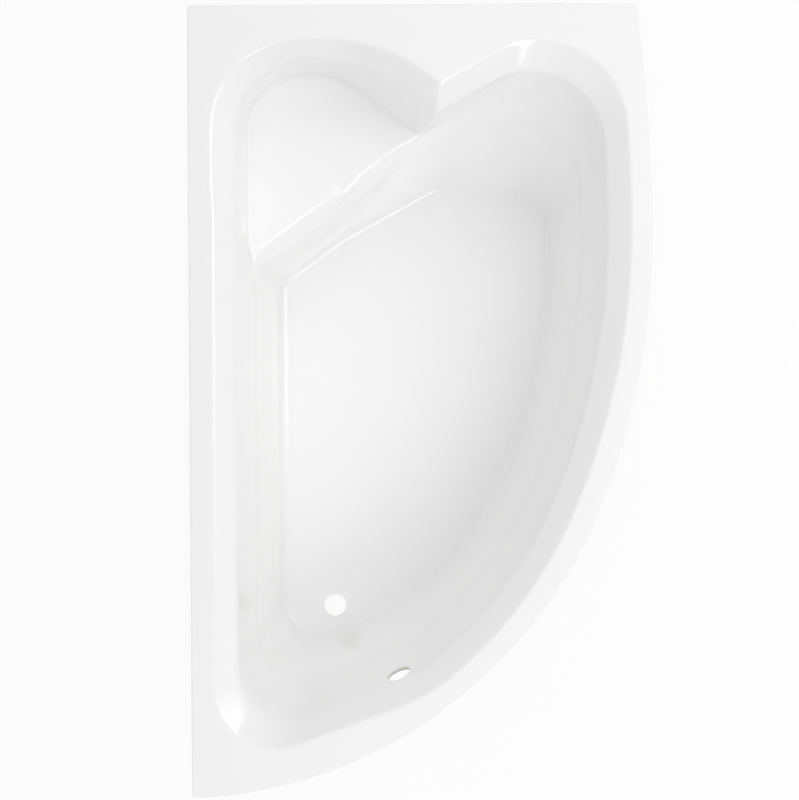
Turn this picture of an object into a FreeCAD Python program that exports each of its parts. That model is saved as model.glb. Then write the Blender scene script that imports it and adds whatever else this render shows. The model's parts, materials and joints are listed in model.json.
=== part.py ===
"""Corner bath: a thermoformed acrylic shell on a welded steel cradle with screw feet.

Frame: X runs from the long straight wall side (-X) to the curved front, Y towards
the head wall (+Y), Z up. The origin is on the floor under the middle of the rim.
All sizes are millimetres.
"""
import FreeCAD
import Part
import Sketcher
import math
import os

# ---------------------------------------------------------------- driving dimensions
SIZES = {
    # rim, seen from above
    "bath_length": 1700.0,
    "bath_width": 1000.0,
    "widest_from_head": 476.0,
    "upper_front_radius": 3250.0,
    "middle_front_radius": 1600.0,
    "middle_front_turn": 23.3,
    "foot_corner_radius": 12.0,
    "front_corner_radius": 20.0,
    "wall_corner_radius": 8.0,
    "least_corner_radius": 1.0,
    # acrylic sheet and its glass fibre backing
    "sheet_thick": 5.0,
    "lip_drop": 38.0,
    "lip_round": 4.0,
    "edge_round": 3.0,
    "fibre_thick": 3.0,
    "fibre_gap": 0.3,
    # flat deck round the hollows
    "wall_deck": 53.0,
    "front_deck": 49.0,
    "head_deck": 76.0,
    "seat_wall_deck": 49.0,
    "seat_head_deck": 74.0,
    # drops below the rim
    "collar_drop": 40.0,
    "seat_drop": 190.0,
    "ledge_drop": 218.0,
    "basin_depth": 430.0,
    # well floor above the room's floor
    "stand_height": 170.0,
    "floor_round": 28.0,
    "seat_round": 14.0,
    # slanted sides at the rim: how far inside the bowed front the foot side runs, and
    # a point on each of the others, from the wall and the head
    "foot_side_inset": 29.5,
    "foot_side_angle": 20.0,
    "notch_x": 541.0,
    "notch_y": 168.0,
    "flank_angle": 28.5,
    "notch_angle": 37.0,
    "riser_x": 251.0,
    "riser_y": 422.0,
    "riser_angle": 36.0,
    "seat_end": 560.0,
    "seat_overlap": 70.0,
    # spout scooped in the seat's front edge
    "scoop_x": 297.0,
    "scoop_y": 332.0,
    "scoop_reach": 90.0,
    "scoop_half_width": 120.0,
    "scoop_drop": 20.0,
    # waste and overflow holes
    "drain_diameter": 54.0,
    "drain_x": 294.0,
    "drain_y": 359.0,
    "overflow_diameter": 54.0,
    "overflow_x": 445.0,
    "overflow_drop": 78.0,
    "overflow_drill_long": 90.0,
    "wall_probe": 2.0,
    # boards
    "board_thick": 16.0,
    "board_margin": 18.0,
    "board_drain_cut": 48.0,
    "rim_board_thick": 16.0,
    "rim_board_gap": 0.5,
    "rim_board_clear": 10.0,
    "saw_gap": 1.0,
    "head_board_end": 300.0,
    "foot_board_end": 330.0,
    # steel cradle of square tube
    "tube_size": 25.0,
    "tube_wall": 1.5,
    "tube_inset": 10.0,
    "front_post_inset": 30.0,
    "foot_corner_post": 50.0,
    "front_corner_post": 60.0,
    "inner_rail_x": 210.0,
    "outer_rail_x": 570.0,
    "head_cross": 400.0,
    "middle_cross": 910.0,
    "foot_cross": 1410.0,
    # plates on the posts, and screws
    "plate_thick": 3.0,
    "plate_length": 60.0,
    "screw_shank": 4.2,
    "screw_head": 8.4,
    "screw_head_high": 2.6,
    "screw_bite": 12.0,
    "screw_clearance": 0.05,
    "plate_screw_step": 24.0,
    "plate_tail_step": 16.0,
    "board_screw_step": 60.0,
    "wall_post_step": 300.0,
    # tube end caps
    "cap_flange": 2.0,
    "cap_plug": 12.0,
    "cap_gap": 0.2,
    # screw feet
    "thread_diameter": 12.0,
    "thread_clearance": 0.06,
    "foot_hole": 13.0,
    "nut_across": 19.0,
    "nut_high": 10.0,
    "screw_above": 10.0,
    "drive_across": 17.0,
    "drive_high": 9.0,
    "drive_lift": 4.0,
    "pad_diameter": 50.0,
    "pad_edge": 6.0,
    "pad_high": 16.0,
    "pad_top": 24.0,
    "pad_floor": 4.0,
    "wall_foot_x": 70.0,
    "front_foot_step": 27.0,
}


def make_sheet(doc):
    """Put the driving dimensions in a spreadsheet, one aliased cell each."""
    sheet = doc.addObject("Spreadsheet::Sheet", "Sizes")
    for row, (alias, value) in enumerate(SIZES.items(), start=1):
        sheet.set("A%d" % row, alias)
        sheet.set("B%d" % row, str(value))
        sheet.setAlias("B%d" % row, alias)
    doc.recompute()
    return sheet


doc = FreeCAD.newDocument("CornerBath")
sheet = make_sheet(doc)


def size(alias):
    """A driving dimension, read from the sheet."""
    return float(sheet.get(alias))


def rim_z():
    """Height of the rim above the room's floor."""
    return size("stand_height") + size("basin_depth")


# ---------------------------------------------------------------- plan outlines
# A plan outline is travelled counter-clockwise, with its inside on the left.
RADIUS_STEP = 0.95


class Line:
    """A straight side through a point, travelled at an angle."""

    def __init__(self, x, y, degrees):
        self.x = x
        self.y = y
        self.degrees = degrees
        self.dx = math.cos(math.radians(degrees))
        self.dy = math.sin(math.radians(degrees))

    def inset(self, distance):
        return Line(self.x - self.dy * distance, self.y + self.dx * distance, self.degrees)

    def nearest(self, point):
        along = (point[0] - self.x) * self.dx + (point[1] - self.y) * self.dy
        return (self.x + along * self.dx, self.y + along * self.dy)

    def span(self, start, end):
        """Length of the side from start to end, less than zero if they pass each other."""
        return (end[0] - start[0]) * self.dx + (end[1] - start[1]) * self.dy

    def edges(self, start, end):
        return [(start, None, end)]


class Bow:
    """Arcs that follow each other tangentially, each with its centre and radius.

    turns holds the direction, in degrees, in which each arc passes to the next."""

    def __init__(self, arcs, turns):
        self.arcs = arcs
        self.turns = turns

    def inset(self, distance):
        return Bow([(x, y, radius - distance) for x, y, radius in self.arcs], self.turns)

    def nearest(self, point, arc):
        x, y, radius = arc
        reach = math.hypot(point[0] - x, point[1] - y)
        return (x + (point[0] - x) * radius / reach, y + (point[1] - y) * radius / reach)

    def at(self, degrees, arc):
        x, y, radius = arc
        turn = math.radians(degrees)
        return (x + radius * math.cos(turn), y + radius * math.sin(turn))

    def edges(self, start, end):
        pieces = []
        for index, arc in enumerate(self.arcs):
            first = start if index == 0 else self.at(self.turns[index - 1], arc)
            last = end if index == len(self.turns) else self.at(self.turns[index], arc)
            middle = ((first[0] + last[0]) / 2, (first[1] + last[1]) / 2)
            pieces.append((first, self.nearest(middle, arc), last))
        return pieces


def cross_lines(one, two):
    """Where two straight sides meet."""
    across = one.dx * two.dy - one.dy * two.dx
    along = ((two.x - one.x) * two.dy - (two.y - one.y) * two.dx) / across
    return (one.x + along * one.dx, one.y + along * one.dy)


def cross_arc(line, arc, forward):
    """Where a straight side meets an arc: its last crossing, or its first."""
    x, y, radius = arc
    foot = line.nearest((x, y))
    half = math.sqrt(radius ** 2 - (foot[0] - x) ** 2 - (foot[1] - y) ** 2)
    along = half if forward else -half
    return (foot[0] + along * line.dx, foot[1] + along * line.dy)


def round_corner(before, after, radius):
    """Tangent points and middle of the arc that joins two sides."""
    one = before.inset(radius)
    two = after.inset(radius)
    if isinstance(before, Bow):
        centre = cross_arc(two, one.arcs[-1], False)
        start = before.nearest(centre, before.arcs[-1])
    elif isinstance(after, Bow):
        centre = cross_arc(one, two.arcs[0], True)
        start = before.nearest(centre)
    else:
        centre = cross_lines(one, two)
        start = before.nearest(centre)
    end = after.nearest(centre, after.arcs[0]) if isinstance(after, Bow) else after.nearest(centre)
    out = (start[0] + end[0] - 2 * centre[0], start[1] + end[1] - 2 * centre[1])
    reach = math.hypot(out[0], out[1])
    middle = (centre[0] + out[0] * radius / reach, centre[1] + out[1] * radius / reach)
    return start, middle, end


def rounded(sides, radii):
    """The corner after each side, with radii that the straight sides have room for."""
    radii = list(radii)
    while True:
        corners = []
        for index, side in enumerate(sides):
            corners.append(round_corner(side, sides[(index + 1) % len(sides)], radii[index]))
        tight = False
        for index, side in enumerate(sides):
            if isinstance(side, Line) and side.span(corners[index - 1][2], corners[index][0]) <= 0.0:
                radii[index - 1] *= RADIUS_STEP
                radii[index] *= RADIUS_STEP
                tight = True
        if not tight or min(radii) < size("least_corner_radius"):
            return corners


def outline(sides, radii, z):
    """Closed wire of the sides, with the corner after each side rounded."""
    corners = rounded(sides, radii)
    edges = []
    for index, side in enumerate(sides):
        start = corners[index - 1][2]
        end = corners[index][0]
        for piece in side.edges(start, end) + [corners[index]]:
            points = [FreeCAD.Vector(p[0], p[1], z) for p in piece if p is not None]
            if len(points) == 2:
                edges.append(Part.LineSegment(*points).toShape())
            else:
                edges.append(Part.Arc(*points).toShape())
    return Part.Wire(edges)


def front_bow():
    """The curved front of the rim: lower, middle and upper arc."""
    half_width = size("bath_width") / 2
    half_length = size("bath_length") / 2
    turn = math.radians(size("middle_front_turn"))
    upper = size("upper_front_radius")
    middle = size("middle_front_radius")
    widest = half_length - size("widest_from_head")
    middle_x = half_width - middle
    join_x = middle_x + middle * math.cos(turn)
    join_y = widest - middle * math.sin(turn)
    # the lower arc leaves the middle one tangentially and ends in the foot corner
    chord_x = join_x + half_width
    chord_y = join_y + half_length
    lean = chord_x * math.cos(turn) - chord_y * math.sin(turn)
    lower = (chord_x ** 2 + chord_y ** 2) / (2 * lean)
    lower_x = join_x - lower * math.cos(turn)
    lower_y = join_y + lower * math.sin(turn)
    arcs = [
        (lower_x, lower_y, lower),
        (middle_x, widest, middle),
        (half_width - upper, widest, upper),
    ]
    return Bow(arcs, [-size("middle_front_turn"), 0.0])


def rim_sides(inset):
    """The rim's outline, drawn in by a distance: wall side, front, head side."""
    wall = Line(-size("bath_width") / 2, 0.0, -90.0)
    head = Line(0.0, size("bath_length") / 2, 180.0)
    return [wall.inset(inset), front_bow().inset(inset), head.inset(inset)]


def rim_wire(inset, z):
    """The rim's outline at a height, drawn in by a distance."""
    radii = [size("foot_corner_radius"), size("front_corner_radius"), size("wall_corner_radius")]
    least = size("least_corner_radius")
    return outline(rim_sides(inset), [max(radius - inset, least) for radius in radii], z)


def prism(wire, height):
    return Part.Face(wire).extrude(FreeCAD.Vector(0, 0, height))


# ---------------------------------------------------------------- basin and seat hollows
# Each hollow is lofted through level outlines. At each level every side is drawn in
# from its place at the rim by its own inset, and every corner has its own radius.

def foot_side():
    """Straight side at the foot, parallel to a tangent of the bowed front."""
    angle = size("foot_side_angle")
    bow = front_bow().inset(size("front_deck") + size("foot_side_inset"))
    x, y = bow.at(angle - 90.0, bow.arcs[0])
    return Line(x, y, angle)


def basin_sides():
    """Sides of the bathing well at the rim."""
    wall_x = -size("bath_width") / 2
    head_y = size("bath_length") / 2
    return [
        Line(wall_x + size("wall_deck"), 0.0, -90.0),
        foot_side(),
        front_bow().inset(size("front_deck")),
        Line(0.0, head_y - size("head_deck"), 180.0),
        Line(wall_x + size("notch_x"), head_y - size("notch_y"), 180.0 + size("flank_angle")),
        Line(wall_x + size("riser_x"), head_y - size("riser_y"), 180.0 + size("riser_angle")),
    ]


def seat_sides():
    """Sides of the seat hollow at the rim. The low and front sides lie in the well."""
    wall_x = -size("bath_width") / 2
    head_y = size("bath_length") / 2
    front_angle = size("riser_angle")
    return [
        Line(wall_x + size("seat_wall_deck"), 0.0, -90.0),
        Line(0.0, head_y - size("seat_end"), 0.0),
        Line(wall_x + size("riser_x"), head_y - size("riser_y") - size("seat_overlap"), front_angle),
        Line(wall_x + size("notch_x"), head_y - size("notch_y"), 180.0 - size("notch_angle")),
        Line(0.0, head_y - size("seat_head_deck"), 180.0),
    ]


# How far each side is drawn in at each level, and the radius of the corner after it.
# Sides of the well: wall, foot, front, head, flank, riser.
WELL_RIM = ([0.0, 0.0, 0.0, 0.0, 0.0, -60.0], [125.0, 350.0, 195.0, 140.0, 260.0, 60.0])
WELL_COLLAR = ([41.0, 44.0, 45.0, 60.0, 47.0, -47.0], [115.0, 330.0, 165.0, 125.0, 260.0, 60.0])
WELL_SEAT = ([71.0, 87.0, 83.0, 139.0, 55.0, 0.0], [100.0, 300.0, 150.0, 110.0, 240.0, 55.0])
WELL_LEDGE = ([76.0, 94.0, 89.5, 152.0, 78.0, 28.0], [97.0, 296.0, 146.0, 105.0, 236.0, 54.0])
WELL_FLOOR = ([118.0, 155.0, 145.0, 266.0, 151.0, 70.0], [75.0, 260.0, 110.0, 60.0, 200.0, 50.0])
# Sides of the seat hollow: wall, end, front, notch, head.
SEAT_RIM = ([0.0, 0.0, 0.0, 0.0, 0.0], [40.0, 20.0, 20.0, 330.0, 190.0])
SEAT_COLLAR = ([44.0, 10.0, 0.0, 50.0, 30.0], [40.0, 20.0, 20.0, 280.0, 165.0])
SEAT_FLOOR = ([62.0, 15.0, 0.0, 90.0, 38.0], [40.0, 20.0, 20.0, 200.0, 130.0])
# Share of a skin's thickness by which each level's outline moves out and down, where
# the profile turns: deck to collar, collar to wall, along the wall, under the seat's
# rounded edge, wall to floor.
SKIN_RIM = (0.38, 1.0)
SKIN_COLLAR = (0.88, 0.55)
SKIN_WALL = (1.04, 0.0)
SKIN_LEDGE = (1.04, 0.55)
SKIN_FLOOR = (0.75, 1.0)
SKIN_NONE = (0.0, 0.0)


def level_wire(sides, drop, table, grow, shares):
    """Outline of a hollow at one level, pushed out square to its walls by grow."""
    insets, radii = table
    out = grow * shares[0]
    moved = [side.inset(inset - out) for side, inset in zip(sides, insets)]
    z = rim_z() - drop - grow * shares[1]
    return outline(moved, [radius + out for radius in radii], z)


NEAR = 1e-6


def flat_edges(solid, z):
    """Edges of a solid that lie at one height."""
    return [e for e in solid.Edges if abs(e.BoundBox.ZMax - z) < NEAR and abs(e.BoundBox.ZMin - z) < NEAR]


def well(grow):
    """The bathing well as a solid: collar, walls, the seat's edge and rounded floor."""
    sides = basin_sides()
    wires = [
        level_wire(sides, 0.0, WELL_RIM, grow, SKIN_RIM),
        level_wire(sides, size("collar_drop"), WELL_COLLAR, grow, SKIN_COLLAR),
        level_wire(sides, size("seat_drop"), WELL_SEAT, grow, SKIN_WALL),
        level_wire(sides, size("ledge_drop"), WELL_LEDGE, grow, SKIN_LEDGE),
        level_wire(sides, size("basin_depth"), WELL_FLOOR, grow, SKIN_FLOOR),
    ]
    solid = Part.makeLoft(wires, True, True)
    floor_z = rim_z() - size("basin_depth") - grow
    return solid.makeFillet(size("floor_round") + grow, flat_edges(solid, floor_z))


def seat_hollow(grow):
    """The hollow over the seat as a solid."""
    sides = seat_sides()
    wires = [
        level_wire(sides, 0.0, SEAT_RIM, grow, SKIN_RIM),
        level_wire(sides, size("collar_drop"), SEAT_COLLAR, grow, SKIN_COLLAR),
        level_wire(sides, size("seat_drop"), SEAT_FLOOR, grow, SKIN_FLOOR),
    ]
    solid = Part.makeLoft(wires, True, True)
    seat_z = rim_z() - size("seat_drop") - grow
    return solid.makeFillet(size("seat_round") + grow, flat_edges(solid, seat_z))


def scoop(grow):
    """The shallow spout that lets the seat drain into the well: a leaning half cone."""
    tip_x = -size("bath_width") / 2 + size("scoop_x")
    tip_y = size("bath_length") / 2 - size("scoop_y")
    seat_z = rim_z() - size("seat_drop")
    angle = math.radians(size("riser_angle") - 90.0)
    along = FreeCAD.Vector(math.cos(angle), math.sin(angle), 0.0)
    across = FreeCAD.Vector(-along.y, along.x, 0.0)
    mouth = FreeCAD.Vector(tip_x, tip_y, seat_z) + along * size("scoop_reach")
    # a skin goes down by its full thickness, so the whole form grows about its mouth
    share = 1.0 + grow / size("scoop_drop")
    tip = mouth - along * size("scoop_reach") * share
    left = mouth + across * size("scoop_half_width") * share
    right = mouth - across * size("scoop_half_width") * share
    bottom = mouth - FreeCAD.Vector(0, 0, size("scoop_drop") * share)
    faces = []
    for points in ([tip, left, right], [tip, bottom, left], [tip, right, bottom], [left, bottom, right]):
        faces.append(Part.Face(Part.makePolygon(points + [points[0]])))
    return Part.Solid(Part.Shell(faces))


def hollows(grow):
    """Everything that the bather's side of the shell leaves free, grown by a skin."""
    return well(grow).fuse([seat_hollow(grow), scoop(grow)]).removeSplitter()


def deck():
    """Flat rim with its turned-down lip."""
    top = rim_z()
    sheet_thick = size("sheet_thick")
    block = prism(rim_wire(0.0, top - size("lip_drop")), size("lip_drop"))
    block = block.makeFillet(size("lip_round"), flat_edges(block, top))
    space = prism(rim_wire(sheet_thick, top - size("lip_drop")), size("lip_drop") - sheet_thick)
    return block.cut(space)


def drain_tool():
    radius = size("drain_diameter") / 2
    x = -size("bath_width") / 2 + size("drain_x")
    y = -size("bath_length") / 2 + size("drain_y")
    height = rim_z() - size("basin_depth")
    return Part.makeCylinder(radius, height, FreeCAD.Vector(x, y, height / 2))


def foot_wall_y(x, drop):
    """Where the well's foot wall stands at a given x and drop."""
    down = (drop - size("collar_drop")) / (size("seat_drop") - size("collar_drop"))
    insets = [a + (b - a) * down for a, b in zip(WELL_COLLAR[0], WELL_SEAT[0])]
    radii = [a + (b - a) * down for a, b in zip(WELL_COLLAR[1], WELL_SEAT[1])]
    wire = level_wire(basin_sides(), drop, (insets, radii), 0.0, SKIN_NONE)
    z = rim_z() - drop
    half = size("bath_length") / 2
    across = Part.makeLine(FreeCAD.Vector(x, -half, z), FreeCAD.Vector(x, half, z))
    return min(pair[0].y for pair in wire.distToShape(across)[1])


def overflow_place():
    """Middle of the overflow hole on the foot wall, and its axis out of the well."""
    x = -size("bath_width") / 2 + size("overflow_x")
    drop = size("overflow_drop")
    near = size("wall_probe")
    along = (foot_wall_y(x + near, drop) - foot_wall_y(x - near, drop)) / (2 * near)
    down = (foot_wall_y(x, drop + near) - foot_wall_y(x, drop - near)) / (2 * near)
    axis = FreeCAD.Vector(along, -1.0, -down).normalize()
    return FreeCAD.Vector(x, foot_wall_y(x, drop), rim_z() - drop), axis


def overflow_tool():
    """Cylinder square to the foot wall, through the overflow hole."""
    middle, axis = overflow_place()
    length = size("overflow_drill_long")
    return Part.makeCylinder(size("overflow_diameter") / 2, length, middle - axis * (length / 2), axis)


def keep(name, shape):
    """Store a computed shape as an object of the document, named after its piece."""
    piece = doc.addObject("Part::Feature", name)
    piece.Label = name
    piece.Shape = shape
    return piece


def solid_of(shape):
    """The single solid of a boolean's result."""
    if len(shape.Solids) != 1:
        raise RuntimeError("expected one solid, found %d" % len(shape.Solids))
    return shape.Solids[0]


# ---------------------------------------------------------------- shell, backing and boards

def make_shell():
    """Acrylic shell: deck and lip, hollows with an eased rim, waste and overflow holes."""
    shape = solid_of(deck().fuse(hollows(size("sheet_thick"))).cut(hollows(0.0)))
    top_edges = flat_edges(shape, rim_z())
    rim = max(Part.sortEdges(top_edges), key=lambda run: Part.Wire(run).Length)
    hollow_edge = [edge for edge in top_edges if not any(edge.isSame(other) for other in rim)]
    shape = shape.makeFillet(size("edge_round"), hollow_edge)
    return keep("acrylic_shell", solid_of(shape.cut([drain_tool(), overflow_tool()])))


def make_backing():
    """Glass fibre skin bonded under the hollows, up to the rim boards."""
    near = size("sheet_thick") + size("fibre_gap")
    shape = hollows(near + size("fibre_thick")).cut(hollows(near))
    low = rim_z() - size("sheet_thick") - size("rim_board_thick") - size("rim_board_gap")
    over = Part.makeBox(size("bath_width"), size("bath_length"), rim_z() - low)
    over.translate(FreeCAD.Vector(-size("bath_width") / 2, -size("bath_length") / 2, low))
    shape = shape.cut([over, drain_tool(), overflow_tool()])
    return keep("glass_fibre_backing", solid_of(shape))


def make_base_board():
    """Board under the floor, cut out round the waste."""
    margin = size("board_margin")
    insets, radii = WELL_FLOOR
    moved = [side.inset(inset + margin) for side, inset in zip(basin_sides(), insets)]
    wire = outline(moved, [radius - margin for radius in radii], board_bottom())
    shape = prism(wire, size("board_thick"))
    x = -size("bath_width") / 2 + size("drain_x")
    y = -size("bath_length") / 2 + size("drain_y")
    centre = FreeCAD.Vector(x, y, board_bottom())
    shape = shape.cut(Part.makeCylinder(size("board_drain_cut"), size("board_thick"), centre))
    shape = shape.cut(board_screw_shanks(size("screw_clearance")))
    return keep("base_board", solid_of(shape))


def board_bottom():
    skins = size("sheet_thick") + size("fibre_thick") + 2 * size("fibre_gap")
    return rim_z() - size("basin_depth") - skins - size("board_thick")


def make_rim_boards():
    """Boards glued under the deck: wall, head, front and foot stretches."""
    thick = size("rim_board_thick")
    z = rim_z() - size("sheet_thick") - thick
    gap = size("rim_board_gap")
    ring = prism(rim_wire(size("sheet_thick") + gap, z), thick)
    clear = size("rim_board_clear")
    for sides, table in ((basin_sides(), WELL_RIM), (seat_sides(), SEAT_RIM)):
        insets, radii = table
        moved = [side.inset(inset - clear) for side, inset in zip(sides, insets)]
        ring = ring.cut(prism(outline(moved, [radius + clear for radius in radii], z), thick))
    half_x = size("bath_width") / 2
    half_y = size("bath_length") / 2
    saw = size("saw_gap") / 2
    head_y = half_y - size("head_board_end")
    foot_y = -half_y + size("foot_board_end")

    def block(x0, x1, y0, y1):
        return Part.makeBox(x1 - x0, y1 - y0, thick, FreeCAD.Vector(x0, y0, z))

    blocks = {
        "rim_board_head": block(-half_x, half_x, head_y + saw, half_y),
        "rim_board_wall": block(-half_x, -half_x / 2, foot_y + saw, head_y - saw),
        "rim_board_front": block(-half_x / 2, half_x, foot_y + saw, head_y - saw),
        "rim_board_foot": block(-half_x, half_x, -half_y, foot_y - saw),
    }
    shanks = plate_screw_shanks(size("screw_clearance"))
    for name, cutter in blocks.items():
        keep(name, solid_of(ring.common(cutter).cut(shanks)))


# ---------------------------------------------------------------- places worked out from the sheet

def front_arc(y, inset):
    """The arc of the front, drawn in by inset, that passes a given y."""
    lower, middle, upper = front_bow().inset(inset).arcs
    if y > middle[1]:
        return upper
    if y > front_bow().at(-size("middle_front_turn"), middle)[1]:
        return middle
    return lower


def front_x(y, inset):
    """Where the front, drawn in by inset, stands at a given y."""
    arc = front_arc(y, inset)
    return arc[0] + math.sqrt(arc[2] ** 2 - (y - arc[1]) ** 2)


def front_turn(y):
    """Direction of the front at a given y, in degrees from +X."""
    arc = front_arc(y, 0.0)
    return 90.0 + math.degrees(math.asin((y - arc[1]) / arc[2]))


def make_places():
    """Sheet of the heights and places that follow from the driving dimensions."""
    places = doc.addObject("Spreadsheet::Sheet", "Places")
    half_x = size("bath_width") / 2
    half_y = size("bath_length") / 2
    tube = size("tube_size")
    upper = board_bottom() - tube
    lower = upper - tube
    straight = size("tube_inset") + tube / 2
    rows = {
        "upper_rail_z": upper,
        "lower_rail_z": lower,
        "post_top": rim_z() - size("sheet_thick") - size("rim_board_thick") - size("plate_thick"),
        "wall_rail_x": -half_x + straight,
        "head_rail_y": half_y - straight,
        "inner_rail_x": -half_x + size("inner_rail_x"),
        "outer_rail_x": -half_x + size("outer_rail_x"),
        "head_cross_y": half_y - size("head_cross"),
        "middle_cross_y": half_y - size("middle_cross"),
        "foot_cross_y": half_y - size("foot_cross"),
        "foot_corner_post_y": -half_y + size("foot_corner_post"),
        "front_corner_post_x": half_x - size("front_corner_post"),
        "wall_foot_x": -half_x + size("wall_foot_x"),
    }
    for name in ("head", "middle", "foot"):
        post_x = front_x(rows[name + "_cross_y"], size("front_post_inset"))
        rows["front_post_%s_x" % name] = post_x
        rows["front_post_%s_turn" % name] = front_turn(rows[name + "_cross_y"])
        rows["front_foot_%s_x" % name] = post_x - size("front_foot_step")
    for row, (alias, value) in enumerate(rows.items(), start=1):
        places.set("A%d" % row, alias)
        places.set("B%d" % row, repr(value))
        places.setAlias("B%d" % row, alias)
    doc.recompute()
    return places


places = make_places()


def place(alias):
    """A worked-out place or height, read from its sheet."""
    return float(places.get(alias))


# ---------------------------------------------------------------- bound primitives

def bind(piece, sizes):
    """Bind properties of an object to expressions on the sheets."""
    for prop, expression in sizes.items():
        piece.setExpression(prop, expression)
    return piece


def box(name, length, width, height, x, y, z):
    """Block with its low corner at x, y, z, all given as expressions."""
    return bind(doc.addObject("Part::Box", name), {
        "Length": length,
        "Width": width,
        "Height": height,
        "Placement.Base.x": x,
        "Placement.Base.y": y,
        "Placement.Base.z": z,
    })


def rod(name, radius, height, x, y, z):
    """Upright cylinder with its foot at x, y, z."""
    return bind(doc.addObject("Part::Cylinder", name), {
        "Radius": radius,
        "Height": height,
        "Placement.Base.x": x,
        "Placement.Base.y": y,
        "Placement.Base.z": z,
    })


def hexagon(name, across, height, x, y, z):
    """Upright hexagonal prism, sized across its flats."""
    return bind(doc.addObject("Part::Prism", name), {
        "Circumradius": "(%s) / sqrt(3)" % across,
        "Height": height,
        "Placement.Base.x": x,
        "Placement.Base.y": y,
        "Placement.Base.z": z,
    })


def cut(name, base, tools):
    """Base less its tools, one after the other."""
    result = base
    for index, tool in enumerate(tools):
        piece = doc.addObject("Part::Cut", "%s_cut_%d" % (name, index))
        piece.Base = result
        piece.Tool = tool
        result = piece
    result.Label = name
    return result


def fuse(name, shapes):
    piece = doc.addObject("Part::MultiFuse", name)
    piece.Shapes = shapes
    piece.Label = name
    return piece


def group(name, shapes):
    """Several separate solids in one piece of the list."""
    piece = doc.addObject("Part::Compound", name)
    piece.Links = shapes
    piece.Label = name
    return piece


# ---------------------------------------------------------------- steel cradle

TUBE = "Sizes.tube_size"
BORE = "(Sizes.tube_size - 2 * Sizes.tube_wall)"
WALL = "Sizes.tube_wall"


def tube_along_x(name, x_low, x_high, y_middle, z_low):
    """Outer block and bore of a square tube that lies along X."""
    long = "(%s) - (%s)" % (x_high, x_low)
    y = "%s - Sizes.tube_size / 2" % y_middle
    outer = box(name + "_outer", long, TUBE, TUBE, x_low, y, z_low)
    bore = box(name + "_bore", long, BORE, BORE, x_low, y + " + " + WALL, z_low + " + " + WALL)
    return outer, bore


def tube_along_y(name, y_low, y_high, x_middle, z_low):
    """Outer block and bore of a square tube that lies along Y."""
    long = "(%s) - (%s)" % (y_high, y_low)
    x = "%s - Sizes.tube_size / 2" % x_middle
    outer = box(name + "_outer", TUBE, long, TUBE, x, y_low, z_low)
    bore = box(name + "_bore", BORE, long, BORE, x + " + " + WALL, y_low, z_low + " + " + WALL)
    return outer, bore


UPPER = "Places.upper_rail_z"
LOWER = "Places.lower_rail_z"
CROSSES = ("head", "middle", "foot")
HALF_TUBE = "Sizes.tube_size / 2"


def foot_places():
    """Name and place of each screw foot: one near either end of each cross rail."""
    feet = []
    for cross in CROSSES:
        feet.append(("wall_" + cross, "Places.wall_foot_x", "Places.%s_cross_y" % cross))
        feet.append(("front_" + cross, "Places.front_foot_%s_x" % cross, "Places.%s_cross_y" % cross))
    return feet


def board_screw_places():
    """Where screws go up through the two middle rails into the base board."""
    spots = []
    for rail in ("inner", "outer"):
        for cross, side in (("head", "-"), ("middle", "+"), ("middle", "-"), ("foot", "+")):
            y = "Places.%s_cross_y %s Sizes.board_screw_step" % (cross, side)
            spots.append(("Places.%s_rail_x" % rail, y))
    return spots


def value_of(expression):
    return float(sheet.evalExpression(expression))


def board_screw_shanks(clearance):
    """Shanks of the base board's screws, as one tool."""
    radius = size("screw_shank") / 2 + clearance
    low = place("upper_rail_z")
    tall = size("tube_size") + size("screw_bite")
    rods = []
    for x, y in board_screw_places():
        spot = FreeCAD.Vector(value_of(x), value_of(y), low)
        rods.append(Part.makeCylinder(radius, tall + clearance, spot))
    return Part.Compound(rods)


def make_middle_rail(name, rail):
    """Rail under the base board, drilled for its screws."""
    y_low = "Places.foot_cross_y - " + HALF_TUBE
    y_high = "Places.head_rail_y - " + HALF_TUBE
    x_middle = "Places.%s_rail_x" % rail
    outer, bore = tube_along_y(name, y_low, y_high, x_middle, UPPER)
    tools = [bore]
    for index, (x, y) in enumerate(board_screw_places()):
        if x == x_middle:
            radius = "Sizes.screw_shank / 2 + Sizes.screw_clearance"
            tools.append(rod("%s_hole_%d" % (name, index), radius, TUBE, x, y, UPPER))
    cut(name, outer, tools)


def make_rails():
    wall_low = "Places.foot_corner_post_y - " + HALF_TUBE
    wall_high = "Places.head_rail_y + " + HALF_TUBE
    cut("wall_rail", *paired(tube_along_y("wall_rail", wall_low, wall_high, "Places.wall_rail_x", UPPER)))
    head_low = "Places.wall_rail_x + " + HALF_TUBE
    head_high = "Places.front_corner_post_x + " + HALF_TUBE
    cut("head_rail", *paired(tube_along_x("head_rail", head_low, head_high, "Places.head_rail_y", UPPER)))
    make_middle_rail("middle_rail_wall_side", "inner")
    make_middle_rail("middle_rail_front_side", "outer")
    for cross in CROSSES:
        name = "cross_rail_" + cross
        low = "Places.wall_rail_x - " + HALF_TUBE
        high = "Places.front_post_%s_x + %s" % (cross, HALF_TUBE)
        outer, bore = tube_along_x(name, low, high, "Places.%s_cross_y" % cross, LOWER)
        tools = [bore]
        for foot, x, y in foot_places():
            if foot.endswith(cross):
                tools.append(rod("%s_hole_%s" % (name, foot), "Sizes.foot_hole / 2", TUBE, x, y, LOWER))
        cut(name, outer, tools)


def paired(tube):
    """Outer block, and its bore as the only tool."""
    outer, bore = tube
    return outer, [bore]


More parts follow.
